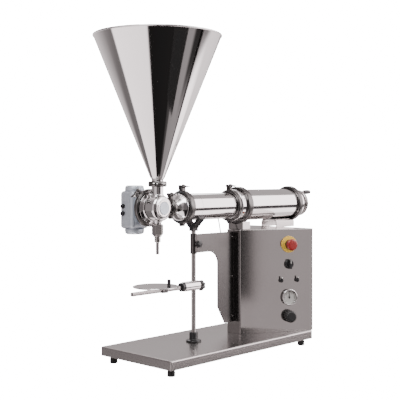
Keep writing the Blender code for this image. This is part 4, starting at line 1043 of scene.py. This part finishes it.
# ------------------------------------------------------------------ base, cabinet and supports
class FILLER_OT_base(bpy.types.Operator):
    """Fold the base tray and the cabinet, and mould the feet"""
    bl_idname = "filler.base"
    bl_label = "Base and cabinet"

    def execute(self, context):
        self.tray()
        self.feet()
        self.cabinet()
        self.rear()
        return {'FINISHED'}

    def drop_faces(self, piece, chosen):
        """Delete the faces whose centre and normal pass a test."""
        choose(piece)
        bpy.ops.object.mode_set(mode='EDIT')
        bpy.ops.mesh.select_mode(type='FACE')
        bpy.ops.mesh.select_all(action='DESELECT')
        bpy.ops.object.mode_set(mode='OBJECT')
        for face in piece.data.polygons:
            face.select = chosen(face)
        bpy.ops.object.mode_set(mode='EDIT')
        bpy.ops.mesh.delete(type='FACE')
        bpy.ops.object.mode_set(mode='OBJECT')

    def wall(self, piece, thickness):
        choose(piece)
        bpy.ops.object.modifier_add(type='SOLIDIFY')
        sheet = piece.modifiers[-1]
        sheet.thickness = thickness
        sheet.offset = -1.0
        sheet.use_even_offset = True
        bpy.ops.object.modifier_apply(modifier=sheet.name)
        bpy.ops.object.shade_smooth_by_angle(angle=pi / 5)
        level(piece)

    def tray(self):
        deselect()
        lowest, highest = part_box("base_tray")
        size = highest - lowest
        bpy.ops.mesh.primitive_cube_add(size=1, location=(lowest + highest) / 2, scale=size)
        tray = bpy.context.object
        tray.name = "folded_tray"
        set_down(tray)
        self.drop_faces(tray, lambda face: face.normal.z < -0.9)
        soften(tray, 0.0045, 4)
        self.wall(tray, WALL)
        give(tray, "machine", "brushed_steel", None, ["base_tray"])

    def feet(self):
        for number in range(1, 5):
            node = "foot_%d" % number
            radius = (high(node).x - low(node).x) / 2
            centre = (middle(node).x, middle(node).y, 0)
            foot = turned("rubber_" + node, [(0, 0), (radius - 0.0015, 0), (radius, 0.0015),
                                             (radius, 0.013), (radius * 0.93, 0.016),
                                             (radius * 0.85, 0.022), (radius * 0.85, high(node).z),
                                             (0, high(node).z)], centre, UP, 48, 0.0003)
            give(foot, "machine", "black_rubber", None, [node])

    def cabinet(self):
        shell = "cabinet_shell"
        front, rear = low(shell).x, high(shell).x
        wide = high(shell).y
        nose = 0.031             # half the width of the cabinet's front end
        fold = sizes().fold
        slope = atan2(wide - nose, rear - front)
        turn = pi / 2 - slope
        set_back = fold * (1 - cos(turn)) / sin(turn)
        run = Vector((cos(slope), -sin(slope)))
        bend = arc((front + fold, -nose + set_back), fold, pi, pi + turn, 6)
        outline = [(rear, -wide), (rear, wide)] + [(x, -y) for x, y in reversed(bend)] + bend
        walls = plate("folded_cabinet", outline, high(shell).z - low(shell).z, 0.0)
        walls.location = (0, 0, low(shell).z)
        set_down(walls)
        self.drop_faces(walls, lambda face: face.normal.z < -0.9 or face.normal.x > 0.9)
        soften(walls, 0.0022, 3, pi / 3)
        self.wall(walls, WALL)
        give(walls, "machine", "brushed_steel", "brushed_upright", [shell])

    def rear(self):
        lowest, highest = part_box("cabinet_rear_cover")
        cover = block("rear_panel", lowest, highest, 0.0006)
        give(cover, "machine", "brushed_steel", "brushed_upright", ["cabinet_rear_cover"])
        heads = []
        for y in (lowest.y + 0.010, highest.y - 0.010):
            for z in (lowest.z + 0.012, (lowest.z + highest.z) / 2, highest.z - 0.012):
                heads.append(socket_screw("rear_screw", (highest.x - 0.0003, y, z), ALONG_X, 0.0034,
                                          0.002))
        give(joined("rear_panel_screws", heads), "machine", "cast_steel", "bright_steel_and_shaded_polish")
        inlet = middle("air_inlet")
        start = highest.x
        fitting = turned("hose_coupling", [(0, -0.010), (0.005, -0.010), (0.005, 0.0004),
                                           (0.0088, 0.0004), (0.009, 0.001), (0.009, 0.0095),
                                           (0.0065, 0.011), (0.006, 0.026), (0.0075, 0.0275),
                                           (0.0075, 0.0335), (0.0045, 0.036), (0.004, 0.0428),
                                           (0, 0.0428)], (start, inlet.y, inlet.z), ALONG_X, 40, 0.0003)
        give(fitting, "machine", "cast_steel", "bright_steel_and_shaded_polish", ["air_inlet"])


class FILLER_OT_supports(bpy.types.Operator):
    """Make the saddle, the folded channel, the V cradle and the steel bracket"""
    bl_idname = "filler.supports"
    bl_label = "Supports"

    def softened(self, node, name, width, finish):
        """A copy of a CAD piece with its triangles merged and its edges rounded."""
        copy = frame["nodes"][node].copy()
        copy.data = frame["nodes"][node].data.copy()
        for key in list(copy.keys()):
            del copy[key]
        copy.name = name
        bpy.context.scene.collection.objects.link(copy)
        copy.parent = None
        copy.matrix_world = Matrix.Identity(4)
        choose(copy)
        bpy.ops.object.mode_set(mode='EDIT')
        bpy.ops.mesh.select_all(action='SELECT')
        bpy.ops.mesh.remove_doubles(threshold=0.00001)
        bpy.ops.mesh.dissolve_limited(angle_limit=0.01)
        bpy.ops.object.mode_set(mode='OBJECT')
        soften(copy, width, 2, pi / 5)
        slots = {part["node"]: part["material_slot"] for part in frame["record"]["subparts"]}
        return give(copy, self.body_of(node), slots[node], finish, [node])

    def body_of(self, node):
        for body, members in frame["record"]["behaviour"]["bodies"].items():
            if node in members:
                return body
        raise RuntimeError("no body holds " + node)

    def execute(self, context):
        self.softened("middle_support", "saddle_block", 0.0008, "brushed_upright")
        self.softened("rear_support", "folded_channel", 0.0004, "brushed_steel")
        self.softened("v_cradle", "moulded_cradle", 0.0010, "black_plastic")
        self.softened("c_bracket", "steel_bracket", 0.0005, "brushed_dark")
        heads = []
        face = low("c_bracket").y + 0.0235
        for z in (high("c_bracket").z - 0.020, (high("c_bracket").z + low("c_bracket").z) / 2,
                  low("c_bracket").z + 0.022):
            heads.append(socket_screw("bracket_screw", (high("c_bracket").x - 0.011, face, z),
                                      TOWARDS_OPERATOR, 0.0042, 0.003))
        give(joined("bracket_screws", heads), "machine", "cast_steel", "bright_steel_and_shaded_polish")
        return {'FINISHED'}


# ------------------------------------------------------------------ column and bottle table
class FILLER_OT_table(bpy.types.Operator):
    """Make the column, the table's clamp and bar, its disc, its stop and the knobs"""
    bl_idname = "filler.table"
    bl_label = "Column and table"

    def execute(self, context):
        column = turned("round_column", [(0, low("column").z), (COLUMN_RADIUS, low("column").z),
                                         (COLUMN_RADIUS, high("column").z), (0, high("column").z)],
                        (COLUMN_X, 0, 0), UP, 64, 0.0005)
        # The polished column takes the darker steel, which paints its shade.
        give(column, "machine", "polished_steel", "bright_steel_and_shaded_polish", ["column"])
        foot = "column_foot"
        flange = (high(foot).x - low(foot).x) / 2
        bottom = low(foot).z
        top = high(foot).z
        collar = turned("moulded_foot", [(COLUMN_RADIUS + CLEARANCE, bottom), (flange, bottom),
                                         (flange, bottom + 0.004), (flange - 0.0015, bottom + 0.0055),
                                         (0.0160, bottom + 0.0075), (0.0147, bottom + 0.010),
                                         (0.0145, top - 0.001), (0.0138, top),
                                         (COLUMN_RADIUS + CLEARANCE, top)], (COLUMN_X, 0, 0), UP, 64,
                        0.0005)
        give(collar, "machine", "black_plastic", None, [foot])
        self.clamp()
        self.disc()
        self.knobs()
        return {'FINISHED'}

    def clamp(self):
        z = middle("table_bar").z
        start, end = low("table_clamp").x, high("table_clamp").x
        radius = (high("table_clamp").y - low("table_clamp").y) / 2
        tube = turned("clamp_tube", [(0, start + 0.012), (radius, start + 0.012), (radius, end),
                                     (0, end)], (0, 0, z), ALONG_X, 72, 0.0012)
        give(tube, "table", "polished_steel", None, ["table_clamp"])
        collar = turned("clamp_collar", [(0, start), (radius - 0.0025, start),
                                         (radius - 0.0015, start + 0.001),
                                         (radius - 0.0015, start + 0.0125), (0, start + 0.0125)],
                        (0, 0, z), ALONG_X, 64, 0.0005)
        give(collar, "table", "black_plastic")

    def disc(self):
        lowest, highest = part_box("table_bar")
        half = 0.006
        z = (high("table_clamp").z + low("table_clamp").z) / 2
        bar = block("square_bar", (lowest.x, -half, z - half), (highest.x, half, z + half), 0.0012)
        give(bar, "table", "brushed_steel", None, ["table_bar"])
        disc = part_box("table_disc")
        centre_x = middle("table_disc").x
        lug = block("disc_lug_block", (centre_x + 0.022, -0.012, z - half - 0.002),
                    (centre_x + 0.044, 0.012, disc[0].z - CLEARANCE), 0.0012)
        give(lug, "table", "brushed_steel", "brushed_upright")
        screw = socket_screw("lug_screw", (centre_x + 0.033, -0.0115, z), TOWARDS_OPERATOR, 0.0042,
                             0.003)
        give(screw, "table", "cast_steel")
        radius = (disc[1].x - disc[0].x) / 2
        thick = disc[1].z - disc[0].z
        bottom = disc[0].z
        plate_disc = turned("round_table", [(0, bottom), (radius - 0.0008, bottom),
                                            (radius, bottom + thick * 0.3),
                                            (radius, bottom + thick * 0.7),
                                            (radius - 0.0008, bottom + thick), (0, bottom + thick)],
                            (centre_x, 0, 0), UP, 128, 0.0003)
        give(plate_disc, "table", "polished_steel", "polished_steel", ["table_disc"])
        stop = "jar_stop"
        tall = high(stop).z - bottom - thick
        wide = (high(stop).x - low(stop).x) / 2
        peg = turned("stop_peg", [(0, 0.0003), (wide, 0.0003), (wide, tall - 0.002),
                                  (wide - 0.0018, tall), (0, tall)],
                     (middle(stop).x, 0, bottom + thick), UP, 40, 0.0004)
        give(peg, "table", "black_plastic", None, [stop])

    def knobs(self):
        for node, body, joint, lobes in (("table_clamp_knob", "table_clamp_knob",
                                          "table_clamp_knob_turn", 7), ("bracket_knob", "bracket_knob",
                                                                        "bracket_knob_turn", 6)):
            direction = Vector(JOINTS[joint]["axis"])
            at = Vector(JOINTS[joint]["pos_m"])
            along_x = abs(direction.x) > 0.5
            if along_x:
                near, far = low(node).x, high(node).x
                radius = (high(node).y - low(node).y) / 2
                base = Vector((near, at.y, at.z))
            else:
                near, far = -high(node).y, -low(node).y
                radius = (high(node).x - low(node).x) / 2
                base = Vector((at.x, -near, at.z))
            length = far - near
            body_length = length * (0.64 if along_x else 0.70)
            start = length - body_length
            knob = turned(node + "_head", [(0, start), (radius * 0.58, start),
                                           (radius * 0.62, start + 0.002),
                                           (radius * 0.94, start + 0.005), (radius, start + 0.008),
                                           (radius, length - 0.007), (radius * 0.93, length - 0.003),
                                           (radius * 0.66, length - 0.0008), (radius * 0.30, length),
                                           (0, length)], base, direction, 112, 0.0004, (lobes, 0.16))
            stud = turned(node + "_stud", [(0, 0), (0.004, 0), (0.004, start + 0.001),
                                           (0, start + 0.001)], base, direction, 32, 0.0003)
            give(stud, body, "cast_steel", "bright_steel_and_shaded_polish")
            give(knob, body, "black_plastic", None, [node])


# ------------------------------------------------------------------ control panel
class FILLER_OT_controls(bpy.types.Operator):
    """Make the emergency stop, the selector, the speed valves, the gauge and the regulator"""
    bl_idname = "filler.controls"
    bl_label = "Controls"

    def place(self, joint):
        return Vector(JOINTS[joint]["pos_m"])

    def on_panel(self, name, outline, place, sides=64, edge=0.0004, lobes=None):
        return turned(name, outline, place, PANEL_OUT, sides, edge, lobes)

    def upright(self, piece, place, spin=0.0):
        """Carry a shape built with Z outwards and Y up to its place on the panel."""
        across = UP.cross(PANEL_OUT)
        turn = Matrix((across, UP, PANEL_OUT)).transposed() @ Matrix.Rotation(spin, 3, 'Z')
        piece.matrix_world = Matrix.Translation(place) @ turn.to_4x4()
        set_down(piece)
        return piece

    def execute(self, context):
        self.emergency_stop()
        self.selector()
        self.speed_valves()
        self.gauge()
        self.regulator()
        return {'FINISHED'}

    def emergency_stop(self):
        place = self.place("selector_turn")
        place.z = middle("estop_ring").z
        wide = 0.030
        stem = 0.0103
        head = 0.0205
        ring = self.on_panel("estop_plate", [(stem + 0.0005, 0.0003), (wide, 0.0003), (wide, 0.0022),
                                             (wide - 0.0008, 0.003), (stem + 0.0072, 0.0034),
                                             (stem + 0.0005, 0.0034)], place)
        give(ring, "machine", "yellow_plastic", None, ["estop_ring"])
        collar = self.on_panel("estop_collar", [(stem + 0.0005, 0.0034), (stem + 0.0062, 0.0034),
                                                (stem + 0.0050, 0.0135), (stem + 0.0005, 0.0135)],
                               place)
        give(collar, "machine", "black_plastic")
        under = 0.022
        dome = arc((head - 0.0062, under + 0.0075), 0.0062, 0, pi / 2 - 0.15, 8)
        cap = self.on_panel("estop_mushroom", [(0, -0.012), (stem, -0.012), (stem, under),
                                               (head - 0.003, under), (head, under + 0.003), *dome,
                                               (0.008, under + 0.0147), (0, under + 0.015)], place, 80,
                            0)
        give(cap, "estop_head", "red_plastic", None, ["estop_head"])

    def selector(self):
        place = self.place("selector_turn")
        radius = 0.0175
        bezel = self.on_panel("selector_bezel", [(0, 0.0008), (radius, 0.0008), (radius, 0.004),
                                                 (radius - 0.0016, 0.006), (radius - 0.004, 0.006),
                                                 (radius - 0.0046, 0.0075), (0, 0.0075)], place)
        grip = block("selector_bar", (-0.0046, -radius + 0.0016, 0.006),
                     (0.0046, radius - 0.0016, 0.021), 0.0014, 3)
        self.upright(grip, place)
        give(joined("selector_handle", [bezel, grip]), "selector_knob", "black_plastic", None,
             ["selector_knob"])
        mark = block("selector_mark", (-0.0007, 0.003, 0.0208), (0.0007, radius - 0.0035, 0.0214),
                     0.0001)
        give(self.upright(mark, place), "selector_knob", "white_plastic")

    def speed_valves(self):
        for number in (1, 2):
            node = "speed_valve_%d" % number
            place = self.place(node + "_turn")
            hub = self.on_panel(node + "_hub", [(0, 0.0008), (0.0076, 0.0008), (0.0076, 0.0065),
                                                (0.0068, 0.0080), (0.0052, 0.0105), (0, 0.0105)], place,
                                40)
            lever = block(node + "_lever", (-0.0025, -0.002, 0.0098), (0.0025, 0.0138, 0.0138), 0.0010,
                          3)
            self.upright(lever, place)
            give(joined(node + "_handle", [hub, lever]), node, "black_plastic", None, [node])
            tip = block(node + "_tip", (-0.0021, 0.0088, 0.0136), (0.0021, 0.0130, 0.0143), 0.0003)
            give(self.upright(tip, place), node, "white_plastic")

    def gauge(self):
        place = self.place("gauge_needle_swing")
        bezel = 0.029
        case = self.on_panel("gauge_body", [
            (0, -0.018), (bezel * 0.8, -0.018), (bezel * 0.8, 0.0003), (bezel, 0.0003), (bezel, 0.0095),
            *arc((bezel - 0.0022, 0.0098), 0.0022, 0, pi / 2, 4), (bezel - 0.0045, 0.0115),
            (bezel - 0.0052, 0.0038), (0, 0.0038)], place, 96, 0.0002)
        give(case, "machine", "polished_steel", None, ["gauge_case"])
        dial = self.on_panel("gauge_dial", [(0, 0.0036), (bezel - 0.0054, 0.0036),
                                            (bezel - 0.0054, 0.0041), (0, 0.0041)], place, 64, 0)
        # The dial's finish is a darker copy of the white, which paints shade on it.
        give(dial, "machine", "white_plastic", "dial_white_painted_shade")
        marks = []
        steps = 30
        for i in range(steps + 1):
            angle = -0.75 * pi + i * 1.5 * pi / steps
            long = i % 5 == 0
            length = 0.0042 if long else 0.0022
            width = 0.0005 if long else 0.00028
            mark = block("gauge_mark", (-width, bezel - 0.0066 - length, 0.0040),
                         (width, bezel - 0.0066, 0.00425), 0)
            marks.append(self.upright(mark, place, -angle))
        give(joined("gauge_scale", marks), "machine", "black_plastic")
        hub = self.on_panel("gauge_hub", [(0, 0.0044), (0.0030, 0.0044), (0.0030, 0.0072),
                                          (0.0022, 0.0078), (0, 0.0078)], place, 32, 0.0002)
        pointer = plate("gauge_pointer", [(-0.0010, -0.006), (0.0010, -0.006), (0.0007, 0.012),
                                          (0.0001, bezel - 0.0085), (-0.0001, bezel - 0.0085),
                                          (-0.0007, 0.012)], 0.0009, 0)
        pointer.location = (0, 0, 0.0054)
        set_down(pointer)
        self.upright(pointer, place)
        give(joined("gauge_hand", [hub, pointer]), "gauge_needle", "black_plastic", None,
             ["gauge_needle"])

    def regulator(self):
        place = self.place("regulator_turn")
        radius = 0.022
        knob = self.on_panel("regulator_cap", [(0, 0.0008), (radius - 0.003, 0.0008), (radius, 0.004),
                                               (radius, 0.0205), (radius - 0.0012, 0.0235),
                                               (radius - 0.005, 0.0272), (radius - 0.010, 0.028),
                                               (0, 0.028)], place, 144, 0.0003, (18, 0.045))
        give(knob, "regulator_knob", "black_plastic", None, ["regulator_knob"])


# ------------------------------------------------------------------ air hose
class FILLER_OT_hose(bpy.types.Operator):
    """Draw the air hose from the front head to the cabinet's nose"""
    bl_idname = "filler.hose"
    bl_label = "Air hose"

    def execute(self, context):
        route = self.smooth(HOSE_ROUTE, 4)
        length = sum((b - a).length for a, b in zip(route, route[1:]))
        diameter = sizes().hose_diameter
        curve = bpy.data.curves.new("thin_hose", 'CURVE')
        curve.dimensions = '3D'
        curve.bevel_depth = diameter / 2
        curve.bevel_resolution = 4
        curve.use_fill_caps = True
        spline = curve.splines.new('POLY')
        spline.points.add(len(route) - 1)
        for point, place in zip(spline.points, route):
            point.co = (*place, 1)
        spline.use_smooth = True
        hose = bpy.data.objects.new("thin_hose", curve)
        bpy.context.scene.collection.objects.link(hose)
        curve.materials.append(FINISHES["black_rubber"])
        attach(hose, "machine")
        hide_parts("air_hose")
        return {'FINISHED'}

    def smooth(self, points, steps):
        """A Catmull-Rom curve through the route's points."""
        padded = [points[0], *points, points[-1]]
        route = []
        for a, b, c, d in zip(padded, padded[1:], padded[2:], padded[3:]):
            a, b, c, d = (Vector(p) for p in (a, b, c, d))
            for i in range(steps):
                t = i / steps
                route.append(0.5 * (2 * b + (c - a) * t + (2 * a - 5 * b + 4 * c - d) * t ** 2
                                    + (3 * b - a - 3 * c + d) * t ** 3))
        route.append(Vector(points[-1]))
        return route


class FILLER_OT_inner(bpy.types.Operator):
    """Give the inner pieces, which keep their frame shapes, their finishes"""
    bl_idname = "filler.inner"
    bl_label = "Inner pieces"

    def execute(self, context):
        for part in frame["record"]["subparts"]:
            node = frame["nodes"][part["node"]]
            if not node.hide_render:
                node.data.materials.clear()
                node.data.materials.append(FINISHES[part["material_slot"]])
        return {'FINISHED'}


class FILLER_PT_panel(bpy.types.Panel):
    bl_idname = "FILLER_PT_panel"
    bl_label = "Piston liquid filler"
    bl_space_type = 'VIEW_3D'
    bl_region_type = 'UI'
    bl_category = "Filler"

    def draw(self, context):
        layout = self.layout
        for operator in OPERATORS:
            layout.operator(operator.bl_idname)
        for group in (context.scene.filler_sizes, context.scene.filler_colours):
            for name in group.__annotations__:
                layout.prop(group, name)


OPERATORS = (FILLER_OT_stage, FILLER_OT_hose, FILLER_OT_hopper, FILLER_OT_valve, FILLER_OT_nozzle,
             FILLER_OT_actuator, FILLER_OT_dosing_line, FILLER_OT_clamps, FILLER_OT_adjustment,
             FILLER_OT_base, FILLER_OT_supports, FILLER_OT_table, FILLER_OT_controls, FILLER_OT_inner)
CLASSES = (FillerSizes, FillerColours, *OPERATORS, FILLER_PT_panel)


def register():
    for each in CLASSES:
        bpy.utils.register_class(each)
    bpy.types.Scene.filler_sizes = PointerProperty(type=FillerSizes)
    bpy.types.Scene.filler_colours = PointerProperty(type=FillerColours)


def unregister():
    del bpy.types.Scene.filler_colours
    del bpy.types.Scene.filler_sizes
    for each in reversed(CLASSES):
        bpy.utils.unregister_class(each)


def main():
    register()
    make_finishes()
    for operator in OPERATORS:
        family, name = operator.bl_idname.split(".")
        getattr(getattr(bpy.ops, family), name)()
    deselect()


if __name__ == "__main__":
    main()
